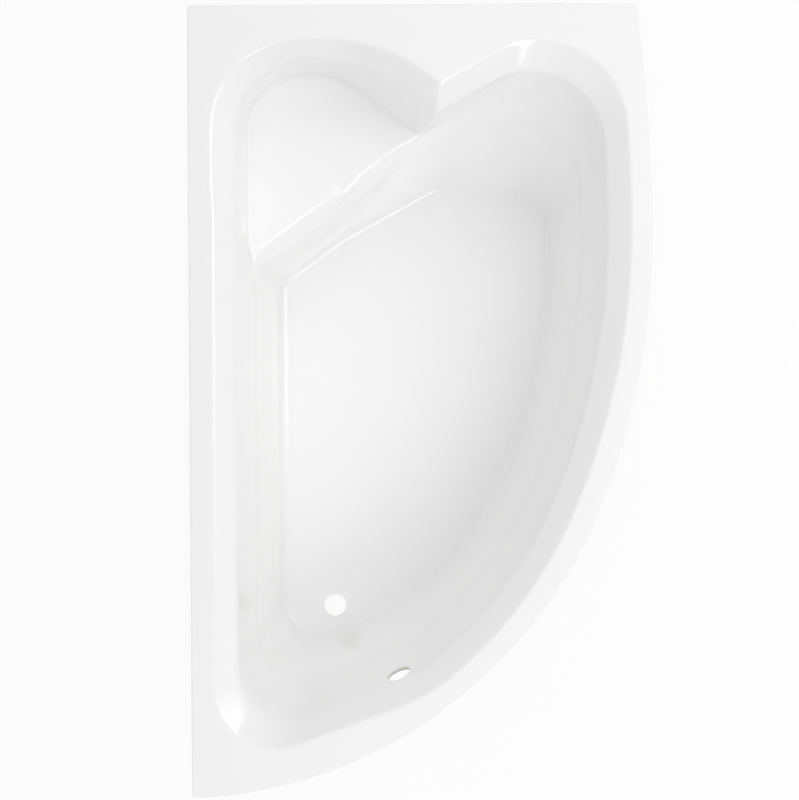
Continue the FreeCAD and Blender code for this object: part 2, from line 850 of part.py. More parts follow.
def post_places():
    """Each upright: name, place, rail it stands on, and the way its plate points.

    Last come the plate's start and its two screws, measured along the plate from the
    post. At a corner the plate reaches one way only."""
    step = "Sizes.plate_screw_step"
    both = ("-Sizes.plate_length / 2", "-" + step, step)
    tail = ("-" + HALF_TUBE, step, step + " + Sizes.plate_tail_step")
    wall_x = "Places.wall_rail_x"
    head_y = "Places.head_rail_y"
    posts = [
        ("post_head_corner", wall_x, head_y, UPPER, "-90 deg", tail),
        ("post_front_corner", "Places.front_corner_post_x", head_y, UPPER, "180 deg", tail),
        ("post_foot_corner", wall_x, "Places.foot_corner_post_y", UPPER, "90 deg", tail),
        ("post_wall_head", wall_x, "Places.head_cross_y", UPPER, "90 deg", both),
        ("post_wall_foot", wall_x, "Places.foot_cross_y + Sizes.wall_post_step", UPPER, "90 deg", both),
    ]
    for cross in CROSSES:
        x = "Places.front_post_%s_x" % cross
        turn = "Places.front_post_%s_turn * 1 deg" % cross
        posts.append(("post_front_" + cross, x, "Places.%s_cross_y" % cross, LOWER, turn, both))
    return posts


def make_posts():
    """Uprights from the rails to the rim boards."""
    for name, x, y, rail, turn, steps in post_places():
        z = "%s + Sizes.tube_size" % rail
        tall = "Places.post_top - (%s)" % z
        x_low = "%s - %s" % (x, HALF_TUBE)
        y_low = "%s - %s" % (y, HALF_TUBE)
        outer = box(name + "_outer", TUBE, TUBE, tall, x_low, y_low, z)
        bore = box(name + "_bore", BORE, BORE, tall, x_low + " + " + WALL, y_low + " + " + WALL, z)
        cut(name, outer, [bore])


def along_plate(x, y, turn, step, aside):
    """Expressions for a point on a plate, from its post along and across the plate."""
    place_x = "%s + cos(%s) * (%s) - sin(%s) * (%s)" % (x, turn, step, turn, aside)
    place_y = "%s + sin(%s) * (%s) + cos(%s) * (%s)" % (y, turn, step, turn, aside)
    return place_x, place_y


def plate_screw_places():
    """Two screws in each post plate."""
    spots = []
    for name, x, y, rail, turn, steps in post_places():
        for step in steps[1:]:
            spots.append(along_plate(x, y, turn, step, "0"))
    return spots


def plate_screw_shanks(clearance):
    radius = size("screw_shank") / 2 + clearance
    tall = size("plate_thick") + size("screw_bite")
    rods = []
    for x, y in plate_screw_places():
        spot = FreeCAD.Vector(value_of(x), value_of(y), place("post_top"))
        rods.append(Part.makeCylinder(radius, tall + clearance, spot))
    return Part.Compound(rods)


def make_plates():
    """Steel plates on the posts, screwed up into the rim boards."""
    plates = []
    for name, x, y, rail, turn, steps in post_places():
        low_x, low_y = along_plate(x, y, turn, steps[0], "-" + HALF_TUBE)
        z = "Places.post_top"
        blank = box("plate_" + name, "Sizes.plate_length", TUBE, "Sizes.plate_thick", low_x, low_y, z)
        bind(blank, {"Placement.Rotation.Angle": turn})
        holes = []
        for step in steps[1:]:
            hole_x, hole_y = along_plate(x, y, turn, step, "0")
            radius = "Sizes.screw_shank / 2 + Sizes.screw_clearance"
            hole_name = "plate_hole_%s_%d" % (name, len(holes))
            holes.append(rod(hole_name, radius, "Sizes.plate_thick", hole_x, hole_y, z))
        plates.append(cut("plate_on_" + name, blank, holes))
    group("post_plates", plates)


def make_screws(name, spots, seat, grip):
    """Tapping screws from below: a flat head under the seat and a shank above it."""
    screws = []
    for index, (x, y) in enumerate(spots):
        head = bind(doc.addObject("Part::Cone", "%s_head_%d" % (name, index)), {
            "Radius1": "Sizes.screw_shank / 2 + Sizes.screw_head_high / 2",
            "Radius2": "Sizes.screw_head / 2",
            "Height": "Sizes.screw_head_high",
            "Placement.Base.x": x,
            "Placement.Base.y": y,
            "Placement.Base.z": "%s - Sizes.screw_head_high" % seat,
        })
        shank = rod("%s_shank_%d" % (name, index), "Sizes.screw_shank / 2", grip, x, y, seat)
        screws.append(fuse("%s_%d" % (name, index), [head, shank]))
    group(name, screws)


def make_end_caps():
    """Plastic caps in the open tube ends: a flange outside and a plug in the bore."""
    middle = "+ Sizes.tube_size / 2"
    ends = [
        ("y", -1, "Places.wall_rail_x", "Places.foot_corner_post_y - " + HALF_TUBE, UPPER),
        ("y", 1, "Places.wall_rail_x", "Places.head_rail_y " + middle, UPPER),
        ("x", 1, "Places.front_corner_post_x " + middle, "Places.head_rail_y", UPPER),
        ("y", -1, "Places.inner_rail_x", "Places.foot_cross_y - " + HALF_TUBE, UPPER),
        ("y", -1, "Places.outer_rail_x", "Places.foot_cross_y - " + HALF_TUBE, UPPER),
    ]
    for cross in CROSSES:
        y = "Places.%s_cross_y" % cross
        ends.append(("x", -1, "Places.wall_rail_x - " + HALF_TUBE, y, LOWER))
        ends.append(("x", 1, "Places.front_post_%s_x %s" % (cross, middle), y, LOWER))
    flange = "Sizes.cap_flange"
    plug = "Sizes.cap_plug"
    across = "(Sizes.tube_size - 2 * Sizes.tube_wall - 2 * Sizes.cap_gap)"
    rise = "(Sizes.tube_wall + Sizes.cap_gap)"
    caps = []
    for index, (axis, side, x, y, z) in enumerate(ends):
        name = "end_cap_%d" % index
        if axis == "x":
            flange_x = x if side > 0 else "%s - %s" % (x, flange)
            plug_x = "%s - %s" % (x, plug) if side > 0 else x
            y_low = "%s - %s" % (y, HALF_TUBE)
            parts = [
                box(name + "_flange", flange, TUBE, TUBE, flange_x, y_low, z),
                box(name + "_plug", plug, across, across, plug_x, y_low + " + " + rise, z + " + " + rise),
            ]
        else:
            flange_y = y if side > 0 else "%s - %s" % (y, flange)
            plug_y = "%s - %s" % (y, plug) if side > 0 else y
            x_low = "%s - %s" % (x, HALF_TUBE)
            parts = [
                box(name + "_flange", TUBE, flange, TUBE, x_low, flange_y, z),
                box(name + "_plug", across, plug, across, x_low + " + " + rise, plug_y, z + " + " + rise),
            ]
        caps.append(fuse(name, parts))
    group("tube_end_caps", caps)


# ---------------------------------------------------------------- screw feet

NUT_TOP = "Places.lower_rail_z"
RUN = "(Sizes.thread_diameter / 2 + Sizes.thread_clearance)"


def make_nuts(name, level):
    """One nut at every foot, level nuts below the rail."""
    nuts = []
    z = "%s - %d * Sizes.nut_high" % (NUT_TOP, level)
    for foot, x, y in foot_places():
        blank = hexagon("%s_blank_%s" % (name, foot), "Sizes.nut_across", "Sizes.nut_high", x, y, z)
        hole = rod("%s_bore_%s" % (name, foot), RUN, "Sizes.nut_high", x, y, z)
        nuts.append(cut("%s_%s" % (name, foot), blank, [hole]))
    group(name, nuts)


def make_foot_screw(foot, x, y):
    """Threaded rod of a foot with its driving hexagon, turning in the pad."""
    low = "Sizes.pad_floor"
    tall = "Places.upper_rail_z + Sizes.screw_above - Sizes.pad_floor"
    shank = rod("rod_" + foot, "Sizes.thread_diameter / 2", tall, x, y, low)
    drive_z = "Sizes.pad_high + Sizes.drive_lift"
    drive = hexagon("drive_" + foot, "Sizes.drive_across", "Sizes.drive_high", x, y, drive_z)
    fuse("foot_screw_" + foot, [shank, drive])


def make_foot_pad(foot, x, y):
    """Moulded pad, turned from its half section, with a blind bore for the rod."""
    body = doc.addObject("PartDesign::Body", "foot_pad_" + foot)
    sketch = body.newObject("Sketcher::SketchObject", "pad_section_" + foot)
    plane = [f for f in body.Origin.OriginFeatures if f.Role == "XZ_Plane"][0]
    sketch.AttachmentSupport = [(plane, "")]
    sketch.MapMode = "FlatFace"
    bore = RUN
    floor = "Sizes.pad_floor"
    corners = [
        ("0", "0"),
        ("Sizes.pad_diameter / 2", "0"),
        ("Sizes.pad_diameter / 2", "Sizes.pad_edge"),
        ("Sizes.pad_top / 2", "Sizes.pad_high"),
        (bore, "Sizes.pad_high"),
        (bore, floor),
        ("0", floor),
    ]
    spots = [FreeCAD.Vector(value_of(a), value_of(b), 0) for a, b in corners]
    for index, spot in enumerate(spots):
        follower = spots[(index + 1) % len(spots)]
        sketch.addGeometry(Part.LineSegment(spot, follower), False)
    count = len(spots)
    for index in range(count):
        sketch.addConstraint(Sketcher.Constraint("Coincident", index, 2, (index + 1) % count, 1))
    sketch.addConstraint(Sketcher.Constraint("Coincident", 0, 1, -1, 1))
    sketch.addConstraint(Sketcher.Constraint("Horizontal", 0))
    sketch.addConstraint(Sketcher.Constraint("Vertical", 1))
    sketch.addConstraint(Sketcher.Constraint("Horizontal", 3))
    sketch.addConstraint(Sketcher.Constraint("Vertical", 4))
    sketch.addConstraint(Sketcher.Constraint("Horizontal", 5))
    sketch.addConstraint(Sketcher.Constraint("Vertical", 6))
    named = [
        ("DistanceX", 0, 2, "outer", "Sizes.pad_diameter / 2"),
        ("DistanceY", 1, 2, "edge", "Sizes.pad_edge"),
        ("DistanceX", 2, 2, "top", "Sizes.pad_top / 2"),
        ("DistanceY", 2, 2, "high", "Sizes.pad_high"),
        ("DistanceX", 4, 1, "bore", bore),
        ("DistanceY", 5, 1, "floor", floor),
    ]
    for kind, line, end, alias, expression in named:
        number = sketch.addConstraint(Sketcher.Constraint(kind, -1, 1, line, end, value_of(expression)))
        sketch.renameConstraint(number, alias)
        sketch.setExpression("Constraints." + alias, expression)
    turned = body.newObject("PartDesign::Revolution", "pad_turned_" + foot)
    turned.Profile = sketch
    turned.ReferenceAxis = (sketch, ["V_Axis"])
    turned.Angle = 360.0
    bind(body, {"Placement.Base.x": x, "Placement.Base.y": y})
    body.Label = "foot_pad_" + foot
    return body


# ---------------------------------------------------------------- build and write

make_shell()
make_backing()
make_base_board()
make_rim_boards()
make_rails()
make_posts()
make_plates()
make_screws("post_screws", plate_screw_places(), "Places.post_top", "Sizes.plate_thick + Sizes.screw_bite")
make_screws("board_screws", board_screw_places(), UPPER, "Sizes.tube_size + Sizes.screw_bite")
make_end_caps()
make_nuts("weld_nuts", 1)
make_nuts("lock_nuts", 2)
for foot_name, foot_x, foot_y in foot_places():
    make_foot_screw(foot_name, foot_x, foot_y)
    make_foot_pad(foot_name, foot_x, foot_y)
doc.recompute()

NODES = [
    "acrylic_shell", "glass_fibre_backing", "base_board",
    "rim_board_head", "rim_board_wall", "rim_board_front", "rim_board_foot",
    "wall_rail", "head_rail", "middle_rail_wall_side", "middle_rail_front_side",
    "post_plates", "post_screws", "board_screws", "tube_end_caps", "weld_nuts", "lock_nuts",
]
NODES += ["cross_rail_" + cross for cross in CROSSES]
NODES += [post[0] for post in post_places()]
NODES += ["foot_screw_" + foot[0] for foot in foot_places()]
NODES += ["foot_pad_" + foot[0] for foot in foot_places()]


def check(names):
    """Stop if any object failed, or any piece has no sound shape."""
    for piece in doc.Objects:
        for state in ("Invalid", "Error"):
            if state in piece.State:
                raise RuntimeError("%s is in state %s" % (piece.Name, piece.State))
    for name in names:
        found = doc.getObjectsByLabel(name)
        if len(found) != 1:
            raise RuntimeError("%s: %d objects have this label" % (name, len(found)))
        shape = found[0].Shape
        if shape.isNull() or not shape.isValid():
            raise RuntimeError("%s has no sound shape" % name)


def write(names):
    os.makedirs("parts", exist_ok=True)
    for name in names:
        shape = doc.getObjectsByLabel(name)[0].Shape
        shape.exportStep(os.path.join("parts", name + ".step"))
        print("%-26s %2d solids %10.1f cm3" % (name, len(shape.Solids), shape.Volume / 1000))


check(NODES)
write(NODES)
print("%d nodes" % len(NODES))
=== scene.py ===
# %% [markdown]
# # A corner bath, dressed for the camera
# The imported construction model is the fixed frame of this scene: every piece has its
# real size and place already. This lesson gives each piece its finish, and models
# again, as smooth meshes, the few pieces whose looks a construction model can't carry.

# %% Load the frame
import bmesh
import bpy
import json
import math
from mathutils import Matrix, Vector

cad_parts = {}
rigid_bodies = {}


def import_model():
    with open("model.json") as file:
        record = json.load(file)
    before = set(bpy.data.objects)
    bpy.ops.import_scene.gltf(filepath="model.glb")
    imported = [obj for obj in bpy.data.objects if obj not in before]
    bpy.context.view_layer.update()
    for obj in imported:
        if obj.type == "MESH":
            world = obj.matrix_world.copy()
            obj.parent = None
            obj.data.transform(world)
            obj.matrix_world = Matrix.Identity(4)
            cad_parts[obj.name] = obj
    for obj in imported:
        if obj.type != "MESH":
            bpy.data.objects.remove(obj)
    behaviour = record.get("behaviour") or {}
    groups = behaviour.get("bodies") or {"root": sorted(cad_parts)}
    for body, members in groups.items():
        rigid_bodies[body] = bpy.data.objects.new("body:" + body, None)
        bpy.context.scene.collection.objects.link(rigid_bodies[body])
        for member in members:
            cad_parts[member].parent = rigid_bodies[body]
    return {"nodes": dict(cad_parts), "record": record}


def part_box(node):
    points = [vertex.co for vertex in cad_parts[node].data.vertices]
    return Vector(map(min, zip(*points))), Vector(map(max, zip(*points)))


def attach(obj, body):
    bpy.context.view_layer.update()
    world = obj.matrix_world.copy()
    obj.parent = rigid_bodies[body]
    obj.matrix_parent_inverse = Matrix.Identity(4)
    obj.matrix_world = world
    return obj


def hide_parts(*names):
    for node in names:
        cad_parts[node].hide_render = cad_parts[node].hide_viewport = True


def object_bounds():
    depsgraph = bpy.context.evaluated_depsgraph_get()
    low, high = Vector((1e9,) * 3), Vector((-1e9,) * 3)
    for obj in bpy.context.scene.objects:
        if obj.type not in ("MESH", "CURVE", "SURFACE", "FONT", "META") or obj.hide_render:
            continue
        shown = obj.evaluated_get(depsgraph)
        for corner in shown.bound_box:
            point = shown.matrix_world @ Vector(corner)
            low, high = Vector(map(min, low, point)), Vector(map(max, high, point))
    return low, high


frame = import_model()
CAD_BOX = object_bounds()
NODES = frame["nodes"]
MM = 0.001

# %% [markdown]
# ## Camera
# A catalogue photograph of a bath is taken from straight above, so that its plan
# reads like a drawing. The camera hangs 3.6 m over the rim with a long lens, and is
# turned by a fraction of a degree. The lens follows from the sensor's width and the
# focal length in pixels.

# %% Camera over the rim
FRAME_WIDTH_PX = 799
FOCAL_PX = 1677.8
SENSOR_MM = 36.0
RIM_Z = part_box("acrylic_shell")[1].z
CAMERA_RISE = 3.600
CAMERA_OVER = (-0.0614, 0.0145)
CAMERA_AIM = (-0.0499, 0.0019)
CAMERA_ROLL = 0.0064

camera_data = bpy.data.cameras.new("studio_camera")
camera_data.sensor_width = SENSOR_MM
camera_data.lens = FOCAL_PX * SENSOR_MM / FRAME_WIDTH_PX
camera = bpy.data.objects.new("studio_camera", camera_data)
bpy.context.scene.collection.objects.link(camera)
camera.location = (*CAMERA_OVER, RIM_Z + CAMERA_RISE)
camera_back = (camera.location - Vector((*CAMERA_AIM, RIM_Z))).normalized()
photo_up = Vector((math.sin(CAMERA_ROLL), math.cos(CAMERA_ROLL), 0.0))
camera_right = photo_up.cross(camera_back).normalized()
camera_up = camera_back.cross(camera_right)
camera.rotation_euler = Matrix((camera_right, camera_up, camera_back)).transposed().to_euler()
bpy.context.scene.camera = camera
bpy.context.scene.view_settings.view_transform = "Standard"
print("lens: %.1f mm" % camera_data.lens)

# %% [markdown]
# ## Light and floor
# White on white lives from soft light. A pale world fills every fold alike, and one
# large soft lamp to the front side of the bath (+X) leaves the front wall a shade
# darker than the wall side, which is what shows the form. Weaker lamps overhead and at
# both ends lift the floor and the end walls, and two more only show as reflections:
# they draw the thin bright lines along the creases. The floor is pale and matt. To the
# camera it is nearly pure white, but it still takes the bath's shadow.

# %% Nodes and materials
WHITE = (1.0, 1.0, 1.0, 1.0)


def put(tree, kind, feeds=None, **settings):
    """Add a shader node. Feeds give a value, or a socket to link, for each input."""
    node = tree.nodes.new("ShaderNode" + kind)
    for key, value in settings.items():
        setattr(node, key, value)
    for key, source in (feeds or {}).items():
        if isinstance(source, bpy.types.NodeSocket):
            tree.links.new(source, node.inputs[key])
        else:
            node.inputs[key].default_value = source
    return node


def node_material(name, metallic=0.0):
    """A material with its node tree and its Principled BSDF."""
    material = bpy.data.materials.new(name)
    material.use_nodes = True
    shader = material.node_tree.nodes["Principled BSDF"]
    shader.inputs["Metallic"].default_value = metallic
    return material, material.node_tree, shader


print("ready to make nodes and materials")

# %% World, lamps and floor
WORLD_STRENGTH = 0.54
FLOOR_SIZE = 14.0
FLOOR_GLOW = 0.92
FLOOR_WHITE = 0.86
FLOOR_DULL = 0.9
LAMP_AIM = (0.0, 0.0, 0.4)
# name, place, width of its square, watts, and what it takes no part in
LAMPS = [
    ("front_side_lamp", (2.6, 0.3, 3.0), 2.2, 25.0, ""),
    ("top_lamp", (0.0, 0.0, 6.5), 4.0, 36.0, "visible_glossy"),
    ("foot_side_lamp", (0.3, -3.2, 3.0), 1.8, 33.0, "visible_glossy"),
    ("head_side_lamp", (0.3, 3.2, 3.0), 1.8, 25.0, "visible_glossy"),
    ("glint_lamp_front", (2.3, 0.8, 3.8), 1.8, 24.0, "visible_diffuse"),
    ("glint_lamp_foot", (1.4, -2.1, 3.2), 1.4, 30.0, "visible_diffuse"),
]


def set_world():
    """A pale world for the object, and a white one for the camera."""
    world = bpy.data.worlds.new("studio_world")
    bpy.context.scene.world = world
    world.use_nodes = True
    tree = world.node_tree
    pale = tree.nodes["Background"]
    pale.inputs["Color"].default_value = WHITE
    pale.inputs["Strength"].default_value = WORLD_STRENGTH
    seen = put(tree, "Background", {"Color": WHITE, "Strength": 1.0})
    path = put(tree, "LightPath")
    mix = put(tree, "MixShader", {"Fac": path.outputs["Is Camera Ray"],
                                  1: pale.outputs["Background"], 2: seen.outputs["Background"]})
    tree.links.new(mix.outputs["Shader"], tree.nodes["World Output"].inputs["Surface"])


def soft_lamp(name, place, size, watts):
    """A square area lamp that points at the bath."""
    data = bpy.data.lights.new(name, "AREA")
    data.shape = "SQUARE"
    data.size = size
    data.energy = watts
    lamp = bpy.data.objects.new(name, data)
    bpy.context.scene.collection.objects.link(lamp)
    lamp.location = place
    lamp.rotation_euler = (Vector(place) - Vector(LAMP_AIM)).to_track_quat("Z", "Y").to_euler()
    return lamp


def add_floor():
    """Pale floor plane that the camera sees as nearly white."""
    bpy.ops.mesh.primitive_plane_add(size=FLOOR_SIZE, location=(0, 0, 0))
    floor = bpy.context.object
    floor.name = "studio_floor"
    material, tree, shader = node_material("studio_floor_paint")
    shader.inputs["Base Color"].default_value = (FLOOR_WHITE, FLOOR_WHITE, FLOOR_WHITE, 1.0)
    shader.inputs["Roughness"].default_value = FLOOR_DULL
    glow = put(tree, "Emission", {"Strength": 1.0})
    path = put(tree, "LightPath")
    share = put(tree, "Math", {0: path.outputs["Is Camera Ray"], 1: FLOOR_GLOW},
                operation="MULTIPLY")
    mix = put(tree, "MixShader", {"Fac": share.outputs["Value"], 1: shader.outputs["BSDF"],
                                  2: glow.outputs["Emission"]})
    tree.links.new(mix.outputs["Shader"], tree.nodes["Material Output"].inputs["Surface"])
    floor.data.materials.append(material)


set_world()
for name, place, size, watts, unseen in LAMPS:
    lamp = soft_lamp(name, place, size, watts)
    if unseen:
        setattr(lamp, unseen, False)
add_floor()
print("lamps: %d, floor: %.0f m across" % (len(LAMPS), FLOOR_SIZE))

# %% [markdown]
# ## Tools of the bench
# Two small habits keep the operators honest. Everything is deselected before a new
# piece starts, because an operator acts on all that is selected. And a finished piece
# gets its place into its mesh, so that its object sits at the origin. The other tools
# are short names for steps that come back: a modifier applied at once, edit mode on one
# piece, a copy with its own mesh, a cut with a tool.

# %% Selecting and finishing
SMOOTH_ANGLE = math.radians(35.0)
LUMPY_ANGLE = math.radians(60.0)
MERGE_REACH = 0.02 * MM
LEVEL = 1e-6


def pick(*pieces):
    """Object mode, with only these pieces selected and the first one active."""
    if bpy.context.object and bpy.context.object.mode != "OBJECT":
        bpy.ops.object.mode_set(mode="OBJECT")
    bpy.ops.object.select_all(action="DESELECT")
    for piece in pieces:
        piece.select_set(True)
    if pieces:
        bpy.context.view_layer.objects.active = pieces[0]


def settle(piece):
    """Put a piece's place, turn and scale into its mesh."""
    pick(piece)
    bpy.ops.object.transform_apply(location=True, rotation=True, scale=True)


def apply_modifier(piece, kind, **values):
    """Add a modifier, set it up and apply it."""
    modifier = piece.modifiers.new(kind.lower(), kind)
    for key, value in values.items():
        setattr(modifier, key, value)
    pick(piece)
    bpy.ops.object.modifier_apply(modifier=modifier.name)


def edit(piece, action="DESELECT"):
    """Edit mode on one piece, with nothing or everything selected. Gives its mesh."""
    pick(piece)
    bpy.ops.object.mode_set(mode="EDIT")
    bpy.ops.mesh.select_all(action=action)
    return bmesh.from_edit_mesh(piece.data)


def leave_edit():
    bpy.ops.object.mode_set(mode="OBJECT")


def copy_of(piece, name):
    """A copy of a piece with its own mesh."""
    twin = piece.copy()
    twin.data = piece.data.copy()
    twin.name = name
    bpy.context.scene.collection.objects.link(twin)
    return twin


def boolean(piece, tool, operation):
    """Cut or join a piece with a tool, which is then gone."""
    apply_modifier(piece, "BOOLEAN", operation=operation, solver="EXACT", object=tool)
    bpy.data.objects.remove(tool)


def triangles(piece):
    return sum(len(face.vertices) - 2 for face in piece.data.polygons)


def shade(piece, angle=SMOOTH_ANGLE):
    """Smooth shading, with edges sharper than an angle left crisp."""
    pick(piece)
    bpy.ops.object.shade_smooth_by_angle(angle=angle)


pick()
print("smooth up to %.0f degrees" % math.degrees(SMOOTH_ANGLE))

# %% [markdown]
# ## The shell's level outlines
# The shell is one sheet of acrylic, sucked into a mould while hot. Each of its levels
# is a closed outline: straight sides and one bowed side, joined by round corners. The
# outlines here repeat the construction model's, in millimetres from the same origin,
# so that the smooth skin lies in the place of the plain one.

# %% Rim dimensions
HALF_WIDTH = CAD_BOX[1][0] / MM
HALF_LENGTH = CAD_BOX[1][1] / MM
RIM = RIM_Z / MM
WIDEST_Y = HALF_LENGTH - 476.0
UPPER_FRONT_RADIUS = 3250.0
MIDDLE_FRONT_RADIUS = 1600.0
MIDDLE_FRONT_TURN = math.radians(23.3)
RIM_CORNERS = (12.0, 20.0, 8.0)
LIP_DROP = 38.0
SHEET_THICK = 5.0
COLLAR_DROP = 40.0
SEAT_DROP = 190.0
LEDGE_DROP = 218.0
WELL_DROP = 430.0

print("rim %.0f x %.0f mm at %.0f mm" % (2 * HALF_LENGTH, 2 * HALF_WIDTH, RIM))


# %% Sides of an outline
def heading(turn):
    """Unit vector of a direction."""
    return Vector((math.cos(turn), math.sin(turn)))


def turn_of(way):
    return math.atan2(way.y, way.x)


class Side:
    """Straight side through a point. The inside is on its left."""

    def __init__(self, x, y, degrees):
        self.point = Vector((x, y))
        self.turn = math.radians(degrees)
        self.way = heading(self.turn)
        self.inward = Vector((-self.way.y, self.way.x))

    def inset(self, distance):
        return Side(*(self.point + self.inward * distance), math.degrees(self.turn))

    def depth(self, point):
        """How far inside the side a point lies."""
        return (Vector(point) - self.point).dot(self.inward)

    def foot(self, point, arc=0):
        """The side's nearest point."""
        return self.point + self.way * (Vector(point) - self.point).dot(self.way)

    def run(self, start, end):
        return [start, end]


class Bow:
    """The bowed front: three arcs (centre, radius) that join tangentially."""

    def __init__(self, arcs, turns):
        self.arcs = arcs
        self.turns = turns

    def inset(self, distance):
        return Bow([(centre, radius - distance) for centre, radius in self.arcs], self.turns)

    def foot(self, point, arc):
        """The nearest point of one of the arcs, the first or the last."""
        centre, radius = self.arcs[arc]
        return centre + (Vector(point) - centre).normalized() * radius

    def run(self, start, end):
        """Closely spaced points from the start, through each arc, to the end."""
        first = turn_of(start - self.arcs[0][0])
        last = turn_of(end - self.arcs[-1][0])
        bounds = [first] + list(self.turns) + [last]
        points = []
        for (centre, radius), low, high in zip(self.arcs, bounds, bounds[1:]):
            points += arc_points(centre, radius, low, high)
        return points


ARC_STEP = math.radians(1.5)


def arc_points(centre, radius, low, high):
    """Points along an arc, about a step apart, with both ends."""
    count = max(2, round(abs(high - low) / ARC_STEP))
    return [centre + heading(low + (high - low) * i / count) * radius for i in range(count + 1)]


def front_bow():
    """The rim's front, from the foot corner to the head side."""
    way = heading(-MIDDLE_FRONT_TURN)
    middle = Vector((HALF_WIDTH - MIDDLE_FRONT_RADIUS, WIDEST_Y))
    joint = middle + way * MIDDLE_FRONT_RADIUS
    chord = joint - Vector((-HALF_WIDTH, -HALF_LENGTH))
    lower_radius = chord.length_squared / (2.0 * chord.dot(way))
    lower = joint - way * lower_radius
    upper = Vector((HALF_WIDTH - UPPER_FRONT_RADIUS, WIDEST_Y))
    arcs = [(lower, lower_radius), (middle, MIDDLE_FRONT_RADIUS), (upper, UPPER_FRONT_RADIUS)]
    return Bow(arcs, [-MIDDLE_FRONT_TURN, 0.0])


# %% Corners and whole outlines
def meet(one, two):
    """Where two straight sides cross."""
    across = one.way.cross(two.way)
    return one.point + one.way * ((two.point - one.point).cross(two.way) / across)


def meet_arc(side, centre, radius, forward):
    """Where a straight side crosses an arc: its last crossing, or its first."""
    foot = side.foot(centre)
    half = math.sqrt(radius ** 2 - (foot - centre).length_squared)
    return foot + side.way * (half if forward else -half)


def corner(before, after, radius):
    """Closely spaced points of the arc that rounds a corner."""
    one = before.inset(radius)
    two = after.inset(radius)
    if isinstance(before, Bow):
        centre = meet_arc(two, *one.arcs[-1], False)
    elif isinstance(after, Bow):
        centre = meet_arc(one, *two.arcs[0], True)
    else:
        centre = meet(one, two)
    low = turn_of(before.foot(centre, -1) - centre)
    high = turn_of(after.foot(centre, 0) - centre)
    if high < low:
        high += 2.0 * math.pi
    return arc_points(centre, radius, low, high)


def outline(sides, radii):
    """Runs of points in turn: each side, then the corner that follows it."""
    corners = [corner(side, sides[(i + 1) % len(sides)], radii[i]) for i, side in enumerate(sides)]
    runs = []
    for i, side in enumerate(sides):
        runs.append(side.run(corners[i - 1][-1], corners[i][0]))
        runs.append(corners[i])
    return runs


RIM_SIDES = [Side(-HALF_WIDTH, 0.0, -90.0), front_bow(), Side(0.0, HALF_LENGTH, 180.0)]
print("front arcs: radii %s mm" % [round(radius) for centre, radius in RIM_SIDES[1].arcs])

# %% [markdown]
# ## Well and seat
# The well has six sides and the seat hollow five. At each level a side is drawn in by
# its own inset, and a table holds those insets with the corner radii. Between two
# levels they change evenly, because a mould's wall is straight in section.

# %% Tables of the hollows
FRONT_DECK = 49.0
FOOT_DECK = 29.5
FOOT_DEGREES = 20.0
LEAST_RADIUS = 8.0


def foot_side():
    """Straight side at the foot, parallel to a tangent of the bowed front."""
    centre, radius = front_bow().inset(FRONT_DECK + FOOT_DECK).arcs[0]
    return Side(*(centre + heading(math.radians(FOOT_DEGREES - 90.0)) * radius), FOOT_DEGREES)


def side_at(from_wall, from_head, degrees):
    """Straight side through a point this far from the wall side and the head side."""
    return Side(-HALF_WIDTH + from_wall, HALF_LENGTH - from_head, degrees)


WELL_SIDES = [
    side_at(53.0, HALF_LENGTH, -90.0),
    foot_side(),
    front_bow().inset(FRONT_DECK),
    side_at(HALF_WIDTH, 76.0, 180.0),
    side_at(541.0, 168.0, 208.5),
    side_at(251.0, 422.0, 216.0),
]
SEAT_SIDES = [
    side_at(49.0, HALF_LENGTH, -90.0),
    side_at(HALF_WIDTH, 560.0, 0.0),
    side_at(251.0, 492.0, 36.0),
    side_at(541.0, 168.0, 143.0),
    side_at(HALF_WIDTH, 74.0, 180.0),
]
# drop below the rim: insets of the sides, radii of the corners after them
WELL = {
    0.0: ([0, 0, 0, 0, 0, -60], [125, 350, 195, 140, 260, 60]),
    COLLAR_DROP: ([41, 44, 45, 60, 47, -47], [115, 330, 165, 125, 260, 60]),
    SEAT_DROP: ([71, 87, 83, 139, 55, 0], [100, 300, 150, 110, 240, 55]),
    LEDGE_DROP: ([76, 94, 89.5, 152, 78, 28], [97, 296, 146, 105, 236, 54]),
    WELL_DROP: ([118, 155, 145, 266, 151, 70], [75, 260, 110, 60, 200, 50]),
}
SEAT = {
    0.0: ([0, 0, 0, 0, 0], [40, 20, 20, 330, 190]),
    COLLAR_DROP: ([44, 10, 0, 50, 30], [40, 20, 20, 280, 165]),
    SEAT_DROP: ([62, 15, 0, 90, 38], [40, 20, 20, 200, 130]),
}


def between(table, drop):
    """Insets and radii at a drop, from the levels above and below it."""
    levels = sorted(table)
    high = min(level for level in levels if level >= drop - 1e-9)
    low = max(level for level in levels if level <= drop + 1e-9)
    share = 0.0 if high == low else (drop - low) / (high - low)
    pairs = zip(table[low], table[high])
    return [[a + (b - a) * share for a, b in zip(one, two)] for one, two in pairs]


def level_outline(sides, table, drop, more=0.0):
    """Runs of a hollow's outline at a drop, drawn in by some more."""
    insets, radii = between(table, drop)
    moved = [side.inset(inset + more) for side, inset in zip(sides, insets)]
    return outline(moved, [max(radius - more, LEAST_RADIUS) for radius in radii])


print("levels of the well:", sorted(WELL), "and of the seat:", sorted(SEAT))


# %% Measuring along a run
def run_length(points):
    """Length of a run."""
    return sum((b - a).length for a, b in zip(points, points[1:]))


def point_along(points, distance):
    """The point at a distance along a run."""
    for a, b in zip(points, points[1:]):
        step = (b - a).length
        if distance <= step and step > 0.0:
            return a + (b - a) * (distance / step)
        distance -= step
    return points[-1].copy()


def spaced(points, count):
    """Evenly spaced points along a run: its start, but not its end."""
    whole = run_length(points)
    return [point_along(points, whole * i / count) for i in range(count)]


